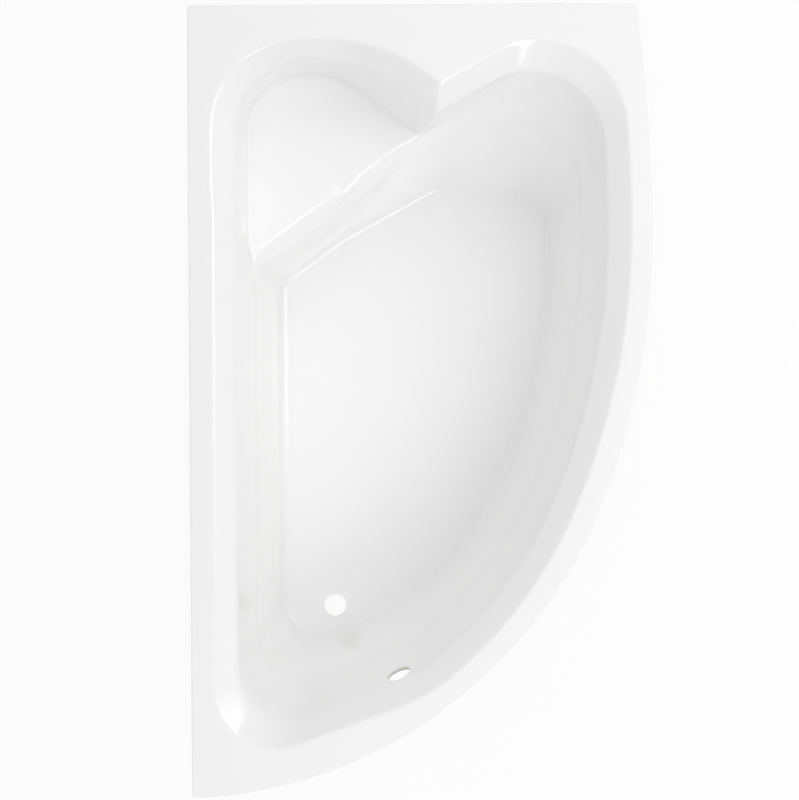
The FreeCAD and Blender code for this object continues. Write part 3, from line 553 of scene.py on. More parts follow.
def crossing(points, side):
    """Index and share of the step of a run that first passes a straight side inwards."""
    depths = [side.depth(point) for point in points]
    for i, (a, b) in enumerate(zip(depths, depths[1:])):
        if a <= 0.0 < b:
            return i, a / (a - b)
    raise RuntimeError("the run doesn't pass the side")


def split(points, index, share):
    """A run in two, at a share of one of its steps."""
    middle = points[index] + (points[index + 1] - points[index]) * share
    return points[:index + 1] + [middle], [middle] + points[index + 1:]


# %% [markdown]
# ## One ring of the skin
# Every ring has the same number of points, so that columns of faces run down the walls
# like planks. Columns stand closer where an outline bends. Round the well, a column
# goes straight down. Across the seat, it goes down the seat's wall, over the seat, and
# down the riser to the floor.

# %% Rings above and below the seat
# points on: wall, its corner, foot, its corner, bowed front, its corner, head, its corner, flank
WELL_COUNTS = [18, 9, 3, 7, 26, 10, 3, 4, 6]
SEAT_COUNT = 30
RIDGE_STEP = 11.0
LEDGE_RISE = 130.0


def joined(runs):
    """Several runs as one, without the doubled points between them."""
    points = [runs[0][0]]
    for run in runs:
        points += [point for point in run[1:] if (point - points[-1]).length > 1e-6]
    return points


def ridge_at_seat():
    """Where on the flank's run the ridge between well and seat reaches the seat."""
    runs = level_outline(WELL_SIDES, WELL, SEAT_DROP)
    notch = SEAT_SIDES[3].inset(SEAT[SEAT_DROP][0][3])
    return crossing(joined(runs[8:10]), notch)


def ledge_end(drop):
    """Y at which the seat's wall hands over to the well's wall."""
    low = level_outline(WELL_SIDES, WELL, SEAT_DROP)[11][-1].y
    return low + LEDGE_RISE * (1.0 - drop / SEAT_DROP)


def ring_around_well(runs, flank, start):
    """Points round the well, from the ledge's end to the ridge."""
    points = spaced([start, runs[0][-1]], WELL_COUNTS[0])
    for run, count in zip(runs[1:8], WELL_COUNTS[1:8]):
        points += spaced(run, count)
    short, tail = cut_back(flank, RIDGE_STEP)
    points += spaced(short, WELL_COUNTS[8] - 1) + [tail]
    return points


def cut_back(points, distance):
    """A run shortened at its end, and the point where it now ends."""
    whole = run_length(points)
    end = point_along(points, whole - distance)
    kept = [points[0]]
    covered = 0.0
    for a, b in zip(points, points[1:]):
        covered += (b - a).length
        if covered < whole - distance:
            kept.append(b)
    return kept + [end], end


def ring_over_seat(points):
    """Points from the ridge to the ledge's end: the ridge, one close to it, the rest."""
    rest = run_length(points) - RIDGE_STEP
    places = [RIDGE_STEP + rest * i / (SEAT_COUNT - 1) for i in range(SEAT_COUNT - 1)]
    return [point_along(points, place) for place in [0.0] + places]


def upper_ring(drop, more=0.0):
    """Outline of well and seat together, at the seat's level or above it."""
    well = level_outline(WELL_SIDES, WELL, drop, more)
    seat = level_outline(SEAT_SIDES, SEAT, drop, more)
    notch = SEAT_SIDES[3].inset(between(SEAT, drop)[0][3] + more)
    flank, rest = split(joined(well[8:10]), *crossing(joined(well[8:10]), notch))
    end_y = ledge_end(drop)
    round_well = ring_around_well(well, flank, Vector((well[0][0].x, end_y)))
    wall = [Vector((seat[0][0].x, seat[9][-1].y)), Vector((seat[0][0].x, end_y))]
    over_seat = joined([[flank[-1], seat[6][-1]], seat[7], seat[8], seat[9], wall])
    return round_well, ring_over_seat(over_seat)


def lower_ring(drop, more=0.0):
    """Outline of the well alone, at the seat's level or below it."""
    well = level_outline(WELL_SIDES, WELL, drop, more)
    flank, rest = split(joined(well[8:10]), *RIDGE)
    round_well = ring_around_well(well, flank, well[0][0])
    riser = joined([rest, well[10], well[11]])
    return round_well, ring_over_seat(riser)


RIDGE = ridge_at_seat()
COLUMNS = sum(WELL_COUNTS) + SEAT_COUNT
print("columns in a ring:", COLUMNS)

# %% [markdown]
# ## Rows down the wall
# A row is one ring with a height for every point. Pairs of close rows stand either
# side of each edge: the subdivision surface then rounds the edge by about their
# distance, as heat and vacuum do with the sheet. Over the seat the same rows form the
# seat's wall, the seat itself and the riser.

# %% Rows of the skin
# drop at the well's wall, drop and place over the seat. A place is a share of the way
# from the seat's outer edge to the riser, less or plus a distance.
EDGE_ROUND = 7.0
CREASE_ROUND = 7.0
SEAT_ROUND = 14.0
LEDGE_ROUND = 11.0
FLOOR_ROUND = 28.0
FLOOR_CORE = 0.72
LEDGE_SHARE = 0.3
UPPER_ROWS = [
    (0.0, 0.0, -EDGE_ROUND),
    (0.0, 0.0, 0.0),
    (EDGE_ROUND, EDGE_ROUND, 0.0),
    (COLLAR_DROP - CREASE_ROUND, COLLAR_DROP - CREASE_ROUND, 0.0),
    (COLLAR_DROP, COLLAR_DROP, 0.0),
    (COLLAR_DROP + CREASE_ROUND, COLLAR_DROP + CREASE_ROUND, 0.0),
    (90.0, 105.0, 0.0),
    (130.0, SEAT_DROP - SEAT_ROUND, 0.0),
]
SEAT_ROWS = [
    (152.0, "outer", 0.0),
    (168.0, "outer", SEAT_ROUND),
    (180.0, "share", 0.5),
    (190.0, "riser", LEDGE_ROUND),
    (199.0, "riser", 0.0),
]
LOWER_ROWS = [
    (208.0, SEAT_DROP + LEDGE_ROUND),
    (217.0, LEDGE_DROP - 6.0),
    (229.0, LEDGE_DROP + 6.0),
    (262.0, 250.0),
    (310.0, 305.0),
    (WELL_DROP - FLOOR_ROUND, WELL_DROP - FLOOR_ROUND),
    (WELL_DROP, WELL_DROP),
]


def raised(points, drop):
    """Plan points at a drop below the rim."""
    return [Vector((point.x, point.y, RIM - drop)) for point in points]


def row(well_drop, seat_points, seat_drop, more=0.0):
    """A ring of points in space. Its ridge goes with the well."""
    ring = upper_ring if well_drop <= SEAT_DROP else lower_ring
    around, over = ring(well_drop, more)
    return raised(around + over[:1], well_drop) + raised(seat_points[1:], seat_drop)


def across_seat(outer, riser, kind, amount):
    """A point of the seat on the way from its outer edge to the riser."""
    if kind == "share":
        return outer.lerp(riser, amount)
    share = min(amount / max((riser - outer).length, 1e-6), LEDGE_SHARE)
    return outer.lerp(riser, share if kind == "outer" else 1.0 - share)


# how much wider the collar's lower crease is rounded: for each group of columns that
# WELL_COUNTS names, and over the seat
CREASE_SOFTNESS = [3.0, 3.0, 2.6, 1.6, 1.0, 1.0, 1.0, 1.0, 1.2]
SEAT_SOFTNESS = 3.0
CREASE_ROW = 4


def soften_crease(rows):
    """Spread the rows beside the collar's crease, where the sheet turns more gently."""
    factors = [factor for factor, count in zip(CREASE_SOFTNESS, WELL_COUNTS) for i in range(count)]
    factors += [SEAT_SOFTNESS] * SEAT_COUNT
    for beside in (CREASE_ROW - 1, CREASE_ROW + 1):
        pairs = zip(rows[CREASE_ROW], rows[beside], factors)
        rows[beside] = [crease + (point - crease) * factor for crease, point, factor in pairs]
    return rows


def skin_rows():
    """All rows, from the deck to the middle of the floor."""
    rows = []
    for well_drop, seat_drop, more in UPPER_ROWS:
        rows.append(row(well_drop, upper_ring(seat_drop, more)[1], seat_drop, more))
    outer = upper_ring(SEAT_DROP)[1]
    riser = lower_ring(SEAT_DROP)[1]
    rows.append(row(SEAT_ROWS[0][0], outer, SEAT_DROP))
    for well_drop, kind, amount in SEAT_ROWS[1:]:
        places = [across_seat(a, b, kind, amount) for a, b in zip(outer, riser)]
        rows.append(row(well_drop, places, SEAT_DROP))
    for well_drop, seat_drop in LOWER_ROWS:
        rows.append(row(well_drop, lower_ring(seat_drop)[1], seat_drop))
    rows.append(row(WELL_DROP, lower_ring(WELL_DROP, FLOOR_ROUND)[1], WELL_DROP, FLOOR_ROUND))
    middle = sum(rows[-1], Vector((0.0, 0.0, 0.0))) / COLUMNS
    rows.append([middle + (point - middle) * FLOOR_CORE for point in rows[-1]])
    return soften_crease(rows)


ROWS = skin_rows()
print("rows in the skin:", len(ROWS))

# %% [markdown]
# ## Modelling the skin
# The skin starts as a circle. It is shaped to the first row, and each further row is
# an extrusion of the last loop, moved to its place. The flat deck outside it has its
# own outline with other corners, so it is a second circle, and Fill closes the gap
# between the two loops. The subdivision surface then makes the curves run through.

# %% Extruding loops
RIM_COUNTS = [12, 6, 46, 6, 8, 5]
RIM_LEAST_RADIUS = 2.0
LIP_ROUND = 4.0
DECK_FRAME = 9.0
SUBDIVISIONS = 2
DECK_EDGE_ROWS = [(DECK_FRAME, 0.0), (LIP_ROUND, 0.0), (0.0, 0.0), (0.0, LIP_ROUND),
                  (0.0, LIP_DROP - LIP_ROUND), (0.0, LIP_DROP)]


def shape_loop(mesh, loop, ring):
    mesh.verts.ensure_lookup_table()
    for index, point in zip(loop, ring):
        mesh.verts[index].co = point * MM


def start_loop(name, ring):
    """A circle shaped to a ring, left in edit mode, with its vertex numbers in order."""
    pick()
    bpy.ops.mesh.primitive_circle_add(vertices=len(ring), radius=1.0)
    piece = bpy.context.object
    piece.name = name
    bpy.ops.object.mode_set(mode="EDIT")
    loop = list(range(len(ring)))
    shape_loop(bmesh.from_edit_mesh(piece.data), loop, ring)
    return piece, loop


def extrude_loop(piece, loop, ring):
    """Extrude a loop's edges and shape the new loop to a ring."""
    bpy.ops.mesh.select_all(action="DESELECT")
    mesh = bmesh.from_edit_mesh(piece.data)
    mesh.verts.ensure_lookup_table()
    for index in loop:
        mesh.verts[index].select = True
    mesh.select_flush(True)
    bpy.ops.mesh.extrude_edges_move()
    mesh = bmesh.from_edit_mesh(piece.data)
    mesh.verts.ensure_lookup_table()
    mesh.verts.index_update()
    old = set(loop)
    following = []
    for vert in [mesh.verts[index] for index in loop]:
        ends = [edge.other_vert(vert) for edge in vert.link_edges]
        following += [end.index for end in ends if end.select and end.index not in old]
    shape_loop(mesh, following, ring)
    bmesh.update_edit_mesh(piece.data)
    return following


def rim_ring(inset, drop):
    """The rim's outline as a ring of points."""
    radii = [max(radius - inset, RIM_LEAST_RADIUS) for radius in RIM_CORNERS]
    runs = zip(outline([side.inset(inset) for side in RIM_SIDES], radii), RIM_COUNTS)
    return raised([point for run, count in runs for point in spaced(run, count)], drop)


def model_skin():
    """Deck, walls and floor as one open skin."""
    skin, loop = start_loop("shell_skin", ROWS[0])
    for ring in ROWS[1:]:
        loop = extrude_loop(skin, loop, ring)
    bpy.ops.mesh.edge_face_add()
    deck, loop = start_loop("deck_edge", rim_ring(*DECK_EDGE_ROWS[0]))
    for inset, drop in DECK_EDGE_ROWS[1:]:
        loop = extrude_loop(deck, loop, rim_ring(inset, drop))
    pick(skin, deck)
    bpy.ops.object.join()
    mesh = edit(skin)
    for edge in mesh.edges:
        level = all(abs(vert.co.z - RIM_Z) < LEVEL for vert in edge.verts)
        edge.select = edge.is_boundary and level
    bpy.ops.mesh.fill(use_beauty=True)
    bpy.ops.mesh.select_all(action="SELECT")
    bpy.ops.mesh.normals_make_consistent(inside=False)
    leave_edit()
    level_faces = [face for face in skin.data.polygons if face.center.z > RIM_Z - LEVEL]
    if max(level_faces, key=lambda face: face.area).normal.z < 0.0:
        edit(skin, "SELECT")
        bpy.ops.mesh.flip_normals()
        leave_edit()
    apply_modifier(skin, "SUBSURF", levels=SUBDIVISIONS, render_levels=SUBDIVISIONS)
    return skin


skin = model_skin()
print("skin faces:", len(skin.data.polygons))

# %% [markdown]
# ## The spout
# A shallow spout in the seat's front edge lets its water run into the well. It widens
# and deepens from a point on the seat to the edge, so it is pressed into the finished
# skin: where the spout's leaning planes lie lower than the skin, the skin goes down to
# them, with a smooth turn.

# %% Press the spout
SPOUT_TIP = Vector((-HALF_WIDTH + 297.0, HALF_LENGTH - 332.0))
SPOUT_WAY = heading(math.radians(-54.0))
SPOUT_REACH = 90.0
SPOUT_HALF_WIDTH = 120.0
SPOUT_DROP = 20.0
SPOUT_SOFT = 5.0


def softly_lower(one, two, soft):
    """The lower of two heights, with a smooth turn between them."""
    share = max(0.0, min(1.0, 0.5 + 0.5 * (two - one) / soft))
    return two + (one - two) * share - soft * share * (1.0 - share)


def press_spout(piece):
    """Lower the points round the spout. Gives their number."""
    moved = 0
    for vert in piece.data.vertices:
        spot = Vector((vert.co.x, vert.co.y)) / MM - SPOUT_TIP
        along = spot.dot(SPOUT_WAY)
        aside = abs(spot.cross(SPOUT_WAY))
        if 0.0 < along < SPOUT_REACH and aside < SPOUT_HALF_WIDTH:
            spread = math.hypot(aside, SPOUT_SOFT) - SPOUT_SOFT
            slope = SPOUT_DROP * (along / SPOUT_REACH - spread / SPOUT_HALF_WIDTH)
            pressed = RIM - SEAT_DROP - slope + SPOUT_SOFT / 4
            vert.co.z = softly_lower(vert.co.z / MM, pressed, SPOUT_SOFT) * MM
            moved += 1
    piece.data.update()
    return moved


print("points under the spout:", press_spout(skin))

# %% [markdown]
# ## Two knots
# At both ends of the seat's front edge three surfaces meet, and the rows of the skin
# crowd together there. A few rounds of Smooth on the points close to each knot relax
# the crowded rows, as the hot sheet relaxes in such corners.

# %% Relax the knots
# place and reach in metres
KNOTS = (((-0.412, 0.385, 0.435), 0.055), ((0.004, 0.622, 0.430), 0.026))
KNOT_ROUNDS = 8
KNOT_FACTOR = 0.5


def relax_knots(piece):
    """Smooth the points within reach of each knot."""
    for place, reach in KNOTS:
        mesh = edit(piece)
        for vert in mesh.verts:
            vert.select = (vert.co - Vector(place)).length < reach
        mesh.select_flush(True)
        bmesh.update_edit_mesh(piece.data)
        bpy.ops.mesh.vertices_smooth(factor=KNOT_FACTOR, repeat=KNOT_ROUNDS)
        leave_edit()


relax_knots(skin)
print("knots relaxed:", len(KNOTS))

# %% [markdown]
# ## Thickness and holes
# Solidify gives the skin its 5 mm, on the side away from the bather. The waste hole
# and the overflow hole are drilled through it with two cylinders and a boolean, as
# they are on the real shell.

# %% Make the shell
HOLES = ("drain_hole", "overflow_hole")
HOLE_DEPTH = 60.0 * MM
HOLE_STEPS = 64


def drill(piece):
    """Cut the round holes, at their mounts in the record."""
    for name in HOLES:
        mount = [mount for mount in frame["record"]["mounts"] if mount["name"] == name][0]
        turn = Vector(mount["axis"]).normalized().to_track_quat("Z", "Y").to_euler()
        pick()
        bpy.ops.mesh.primitive_cylinder_add(vertices=HOLE_STEPS, radius=mount["dims"]["r_mm"] * MM,
                                            depth=HOLE_DEPTH, location=mount["pos_m"],
                                            rotation=turn)
        boolean(piece, bpy.context.object, "DIFFERENCE")


def make_shell(skin):
    """The skin with the sheet's thickness and its two holes."""
    shell = copy_of(skin, "bath_shell")
    apply_modifier(shell, "SOLIDIFY", thickness=SHEET_THICK * MM, offset=-1.0, use_even_offset=True)
    drill(shell)
    shade(shell)
    return shell


shell = make_shell(skin)
print("shell triangles:", triangles(shell))

# %% [markdown]
# ## One unevenness for every finish
# No real surface has one value all over. Each finish here takes its gloss, and most
# take their tone and relief too, from the same small node group: a noise over object
# coordinates, stretched along one axis where a tool or a mould leaves a direction, and
# mapped to a range. Each material places the group with its own numbers.

# %% The unevenness group
NOISE_LOW = 0.25
NOISE_HIGH = 0.75
UNEVEN_INPUTS = {"Scale": 20.0, "Stretch": 1.0, "Detail": 3.0, "Low": 0.0, "High": 1.0}


def make_uneven_group():
    """Shader node group: Scale, Stretch, Detail, Low and High give a Value."""
    group = bpy.data.node_groups.new("unevenness", "ShaderNodeTree")
    for name, default in UNEVEN_INPUTS.items():
        socket = group.interface.new_socket(name, in_out="INPUT", socket_type="NodeSocketFloat")
        socket.default_value = default
    group.interface.new_socket("Value", in_out="OUTPUT", socket_type="NodeSocketFloat")
    inlet = group.nodes.new("NodeGroupInput").outputs
    place = put(group, "TexCoord")
    stretch = put(group, "CombineXYZ", {"X": 1.0, "Y": inlet["Stretch"], "Z": 1.0})
    scaled = put(group, "VectorMath", {0: place.outputs["Object"], 1: stretch.outputs["Vector"]},
                 operation="MULTIPLY")
    noise = put(group, "TexNoise", {"Vector": scaled.outputs["Vector"], "Scale": inlet["Scale"],
                                    "Detail": inlet["Detail"]})
    spread = put(group, "MapRange", {"Value": noise.outputs["Fac"], "From Min": NOISE_LOW,
                                     "From Max": NOISE_HIGH, "To Min": inlet["Low"],
                                     "To Max": inlet["High"]})
    outlet = group.nodes.new("NodeGroupOutput")
    group.links.new(spread.outputs["Result"], outlet.inputs["Value"])
    return group


UNEVEN = make_uneven_group()


def uneven(tree, scale, low=0.0, high=1.0, stretch=1.0, detail=3.0):
    """Place the unevenness group in a material and give its output."""
    node = tree.nodes.new("ShaderNodeGroup")
    node.node_tree = UNEVEN
    for name, value in zip(UNEVEN_INPUTS, (scale, stretch, detail, low, high)):
        node.inputs[name].default_value = value
    return node.outputs["Value"]


print("group:", UNEVEN.name)

# %% [markdown]
# ## What a finish is made of
# Every finish has the same three ingredients: a colour ramp for its tones, a gloss and
# a relief. Most finishes take all three from the unevenness, each at its own scale.
# Cut chips, zinc crystals and strands are patches, so those take tone and relief from
# the cells of a Voronoi texture, where each cell has a random colour.

# %% Tones, gloss and relief
def tones(tree, value, stops):
    """Colour ramp through (place, colour) stops."""
    node = put(tree, "ValToRGB", {"Fac": value})
    while len(node.color_ramp.elements) < len(stops):
        node.color_ramp.elements.new(0.5)
    for element, (place, colour) in zip(node.color_ramp.elements, stops):
        element.position = place
        element.color = (*colour, 1.0)
    return node.outputs["Color"]


def mix_finish(tree, shader, colour, gloss, height, depth, strength):
    """Feed the shader. The relief's depth is in metres."""
    bump = put(tree, "Bump", {"Strength": strength, "Distance": depth, "Height": height})
    tree.links.new(colour, shader.inputs["Base Color"])
    tree.links.new(gloss, shader.inputs["Roughness"])
    tree.links.new(bump.outputs["Normal"], shader.inputs["Normal"])


def make_finish(name, metallic, tone_scale, stops, gloss, grain, depth, strength):
    """A finish from three unevennesses. Gloss and grain are what uneven is given."""
    material, tree, shader = node_material(name, metallic)
    colour = tones(tree, uneven(tree, tone_scale), stops)
    mix_finish(tree, shader, colour, uneven(tree, **gloss), uneven(tree, **grain), depth, strength)
    return material


def random_cells(tree, cells_per_metre):
    """A random colour for every cell. Cells per metre are given for X, Y and Z."""
    place = put(tree, "TexCoord")
    lay = put(tree, "Mapping", {"Vector": place.outputs["Object"], "Scale": cells_per_metre})
    return put(tree, "TexVoronoi", {"Vector": lay.outputs["Vector"], "Scale": 1.0}).outputs["Color"]


def stand_in(piece, material, body, slot, *nodes):
    """A finished piece rides on a body, takes a finish and stands for CAD nodes. The slot is not
    used.
    """
    piece.data.materials.clear()
    piece.data.materials.append(material)
    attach(piece, body)
    if nodes:
        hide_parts(*nodes)


print("ingredients: tones, gloss and relief")

# %% [markdown]
# ## Sanitary acrylic
# The sheet is white all through, with a deep gloss. What tells it from paint is how
# little happens: a faint ripple from the mould, and a gloss that is a shade duller
# where the mould's surface changed. The colour drifts by about one percent.

# %% Acrylic finish
ACRYLIC = make_finish(
    "sanitary_acrylic", metallic=0.0, tone_scale=2.5,
    stops=[(0.0, (0.944, 0.944, 0.942)), (1.0, (0.954, 0.954, 0.953))],
    gloss=dict(scale=9.0, low=0.10, high=0.17), grain=dict(scale=22.0), depth=0.001, strength=0.05)
stand_in(shell, ACRYLIC, "bath", "acrylic", "acrylic_shell")
print("acrylic on", shell.name)

# %% [markdown]
# ## Glass fibre backing
# Chopped fibres and resin are sprayed on the back of the sheet and rolled down. The
# layer follows the sheet, with lumps and a coarse weave of strands. It starts as a
# copy of the skin, is cut off under the rim boards, moved out past the sheet, made
# lumpy and given its thickness.

# %% Model the backing
BACKING_GAP = 5.2 * MM
BACKING_THICK = 2.4 * MM
BACKING_LUMP = 0.6 * MM
BACKING_TRIM = 2.0 * MM
BACKING_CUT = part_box("glass_fibre_backing")[1].z - BACKING_TRIM
LUMP_SIZE = 0.035


def make_backing(skin):
    """The skin's lower part, moved out past the sheet, with lumps and a thickness."""
    backing = copy_of(skin, "fibre_backing")
    edit(backing, "SELECT")
    bpy.ops.mesh.bisect(plane_co=(0.0, 0.0, BACKING_CUT), plane_no=(0.0, 0.0, 1.0),
                        clear_outer=True)
    bpy.ops.mesh.select_all(action="DESELECT")
    mesh = bmesh.from_edit_mesh(backing.data)
    min(mesh.verts, key=lambda vert: vert.co.z).select = True
    bmesh.update_edit_mesh(backing.data)
    bpy.ops.mesh.select_linked()
    bpy.ops.mesh.select_all(action="INVERT")
    bpy.ops.mesh.delete(type="VERT")
    leave_edit()
    apply_modifier(backing, "DISPLACE", strength=-BACKING_GAP, mid_level=0.0)
    lumps = bpy.data.textures.new("sprayed_lumps", "CLOUDS")
    lumps.noise_scale = LUMP_SIZE
    apply_modifier(backing, "DISPLACE", strength=-BACKING_LUMP, mid_level=0.0, texture=lumps,
                   texture_coords="LOCAL")
    apply_modifier(backing, "SOLIDIFY", thickness=BACKING_THICK, offset=-1.0, use_even_offset=False)
    drill(backing)
    shade(backing, LUMPY_ANGLE)
    return backing


backing = make_backing(skin)
bpy.data.objects.remove(skin)
print("backing triangles:", triangles(backing))

# %% Chopped strands in resin
STRAND_CELLS = (38.0, 55.0)
STRANDS_PER_METRE = (560.0, 30.0, 560.0)


def make_fibre_finish():
    """Resin over chopped strands. Each Voronoi cell turns its strands its own way."""
    material, tree, shader = node_material("glass_fibre_resin")
    place = put(tree, "TexCoord")
    top = put(tree, "Math", operation="MAXIMUM")
    for layer, cells in enumerate(STRAND_CELLS):
        angles = put(tree, "VectorMath", {0: random_cells(tree, (cells, cells, cells)),
                                          "Scale": 2.0 * math.pi}, operation="SCALE")
        turn = put(tree, "VectorRotate", {"Vector": place.outputs["Object"],
                                          "Rotation": angles.outputs["Vector"]},
                   rotation_type="EULER_XYZ")
        lay = put(tree, "Mapping", {"Vector": turn.outputs["Vector"], "Scale": STRANDS_PER_METRE})
        strands = put(tree, "TexNoise", {"Vector": lay.outputs["Vector"], "Scale": 1.0,
                                         "Detail": 2.0})
        tree.links.new(strands.outputs["Fac"], top.inputs[layer])
    height = top.outputs["Value"]
    colour = tones(tree, height, [(0.42, (0.66, 0.64, 0.54)), (0.56, (0.76, 0.75, 0.68)),
                                  (0.72, (0.84, 0.84, 0.80))])
    mix_finish(tree, shader, colour, uneven(tree, 30.0, 0.28, 0.60), height,
               depth=0.0010, strength=0.7)
    return material


stand_in(backing, make_fibre_finish(), "bath", "glass_fibre", "glass_fibre_backing")
print("layers of strands:", len(STRAND_CELLS))

# %% [markdown]
# ## Boards
# Chipboard is glued chips: small flat flecks of many browns. The construction boards
# have the right shape, so they keep it and take this finish. Cells of a Voronoi
# texture, flattened like the chips, give each fleck its tone and its height.

# %% Chipboard finish
CHIPS_PER_METRE = (260.0, 170.0, 420.0)


def make_chipboard():
    """Pressed chips, each with its own tone and height."""
    material, tree, shader = node_material("chipboard_face")
    chips = put(tree, "SeparateColor", {"Color": random_cells(tree, CHIPS_PER_METRE)}).outputs
    colour = tones(tree, chips["Red"], [(0.0, (0.36, 0.22, 0.11)), (0.25, (0.58, 0.40, 0.22)),
                                        (0.7, (0.70, 0.53, 0.33)), (1.0, (0.80, 0.66, 0.45))])
    mix_finish(tree, shader, colour, uneven(tree, 14.0, 0.55, 0.92), chips["Green"],
               depth=0.0003, strength=0.6)
    return material


def finish_node(name, material):
    """A construction piece keeps its shape and takes a finish in all of its slots."""
    piece = NODES[name]
    if not piece.material_slots:
        piece.data.materials.append(material)
    for slot in piece.material_slots:
        slot.material = material


CHIPBOARD = make_chipboard()
BOARDS = [name for name in NODES if "board" in name and "screws" not in name]
for name in BOARDS:
    finish_node(name, CHIPBOARD)
print("boards:", ", ".join(sorted(BOARDS)))

# %% [markdown]
# ## Steel of the cradle
# The cradle is welded from galvanised square tube. Zinc crystals, the spangle, show as
# cells of slightly different grey and gloss. A square tube is rolled, so its long
# corners are round: the construction tubes have sharp ones, and a copy of each gets
# its long edges bevelled in edit mode.

# %% Tubes with rolled corners
TUBE_CORNER = 3.0 * MM
TUBE_INNER_CORNER = 1.4 * MM
LONG_SHARE = 0.8
FLAT_ANGLE = math.radians(1.0)
ALIGNED = 1e-5
ON_CORNER = 1e-4
POST_NODES = [name for name in NODES if name.startswith("post_")
              and name not in ("post_plates", "post_screws")]
TUBE_NODES = [name for name in NODES if "rail" in name or name in POST_NODES]


def fresh_copy(node, name):
    """A copy of a construction piece, with its triangles merged into whole faces."""
    piece = copy_of(NODES[node], name)
    piece.parent = None
    for key in [key for key in piece.keys() if key.startswith("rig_")]:
        del piece[key]
    edit(piece, "SELECT")
    bpy.ops.mesh.remove_doubles(threshold=MERGE_REACH)
    bpy.ops.mesh.dissolve_limited(angle_limit=FLAT_ANGLE)
    leave_edit()
    return piece


def bevel_long_edges(piece, outer, radius):
    """Round the tube's long edges: the outer ones, or those of its bore."""
    mesh = edit(piece)
    low, high = (Vector([end(vert.co[i] for vert in mesh.verts) for i in range(3)])
                 for end in (min, max))
    middle = (low + high) / 2.0
    half = (high - low) / 2.0
    along = max(range(3), key=lambda i: half[i])
    across = [i for i in range(3) if i != along]
    for edge in mesh.edges:
        a, b = (vert.co for vert in edge.verts)
        lies_along = all(abs(a[i] - b[i]) < ALIGNED for i in across)
        on_corner = all(abs(abs(a[i] - middle[i]) - half[i]) < ON_CORNER for i in across)
        long = abs(a[along] - b[along]) > LONG_SHARE * 2.0 * half[along]
        edge.select = lies_along and long and on_corner == outer
    bpy.ops.mesh.bevel(offset=radius, segments=3, affect="EDGES", clamp_overlap=True)
    leave_edit()


for name in TUBE_NODES:
    tube = fresh_copy(name, name + "_rolled")
    bevel_long_edges(tube, True, TUBE_CORNER)
    bevel_long_edges(tube, False, TUBE_INNER_CORNER)
    shade(tube)
print("tubes:", len(TUBE_NODES))

# %% Galvanised finish
SPANGLES_PER_METRE = (130.0, 130.0, 130.0)
SPANGLE_GLOSS = 0.12


def make_zinc_coat():
    """Galvanised steel: spangled cells, with dull streaks."""
    material, tree, shader = node_material("galvanised_steel", 1.0)
    spangle = put(tree, "SeparateColor", {"Color": random_cells(tree, SPANGLES_PER_METRE)}).outputs
    colour = tones(tree, spangle["Red"], [(0.0, (0.54, 0.56, 0.58)), (0.6, (0.60, 0.62, 0.64)),
                                          (1.0, (0.67, 0.69, 0.70))])
    streaks = uneven(tree, 8.0, 0.30, 0.46)
    gloss = put(tree, "Math", {0: spangle["Green"], 1: SPANGLE_GLOSS, 2: streaks},
                operation="MULTIPLY_ADD").outputs["Value"]
    mix_finish(tree, shader, colour, gloss, spangle["Blue"], depth=0.0001, strength=0.35)
    return material


ZINC_COAT = make_zinc_coat()
for name in TUBE_NODES:
    stand_in(bpy.data.objects[name + "_rolled"], ZINC_COAT, "bath", "galvanised_tube", name)
print("galvanised with", ZINC_COAT.name)

# %% [markdown]
# ## Weld beads
# Where tube meets tube, a row of overlapping drops of weld metal fills the corner. One
# bead is modelled: a thin cylinder, cut into slices along its length, whose slices
# swell and shrink like the drops. Copies of it, each with its own mesh, go round both
# ends of every post and along every crossing of two rails.

# %% Model one bead and copy it
TUBE_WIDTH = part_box("post_wall_head")[1].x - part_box("post_wall_head")[0].x
BEAD_RADIUS = 1.9 * MM
BEAD_SLICES = 26
BEAD_DROPS = 7
BEAD_SIDES = 10
BEAD_WAIST = 0.80
BEAD_ROUND = 0.6
BEAD_TIP = 0.45
BEAD_TAPER = 5.0


def model_bead():
    """Weld bead along X with drops, one tube's width long, round the origin."""
    pick()
    bpy.ops.mesh.primitive_cylinder_add(vertices=BEAD_SIDES, radius=BEAD_RADIUS, depth=TUBE_WIDTH,
                                        rotation=(0.0, math.pi / 2.0, 0.0))
    bead = bpy.context.object
    settle(bead)
    edit(bead)
    for i in range(1, BEAD_SLICES):
        bpy.ops.mesh.select_all(action="SELECT")
        bpy.ops.mesh.bisect(plane_co=(TUBE_WIDTH * (i / BEAD_SLICES - 0.5), 0.0, 0.0),
                            plane_no=(1.0, 0.0, 0.0))
    mesh = bmesh.from_edit_mesh(bead.data)
    for vert in mesh.verts:
        share = vert.co.x / TUBE_WIDTH + 0.5
        drop = abs(math.sin(math.pi * share * BEAD_DROPS)) ** BEAD_ROUND
        swell = BEAD_WAIST + (1.0 - BEAD_WAIST) * drop
        ends = min(1.0, BEAD_TIP + BEAD_TAPER * min(share, 1.0 - share))
        vert.co.y *= swell * ends
        vert.co.z *= swell * ends
    bmesh.update_edit_mesh(bead.data)
    leave_edit()
    return bead


def over_middle(node, z):
    """Point at a height, over or under the middle of a construction piece."""
    low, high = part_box(node)
    return Vector(((low.x + high.x) / 2.0, (low.y + high.y) / 2.0, z))


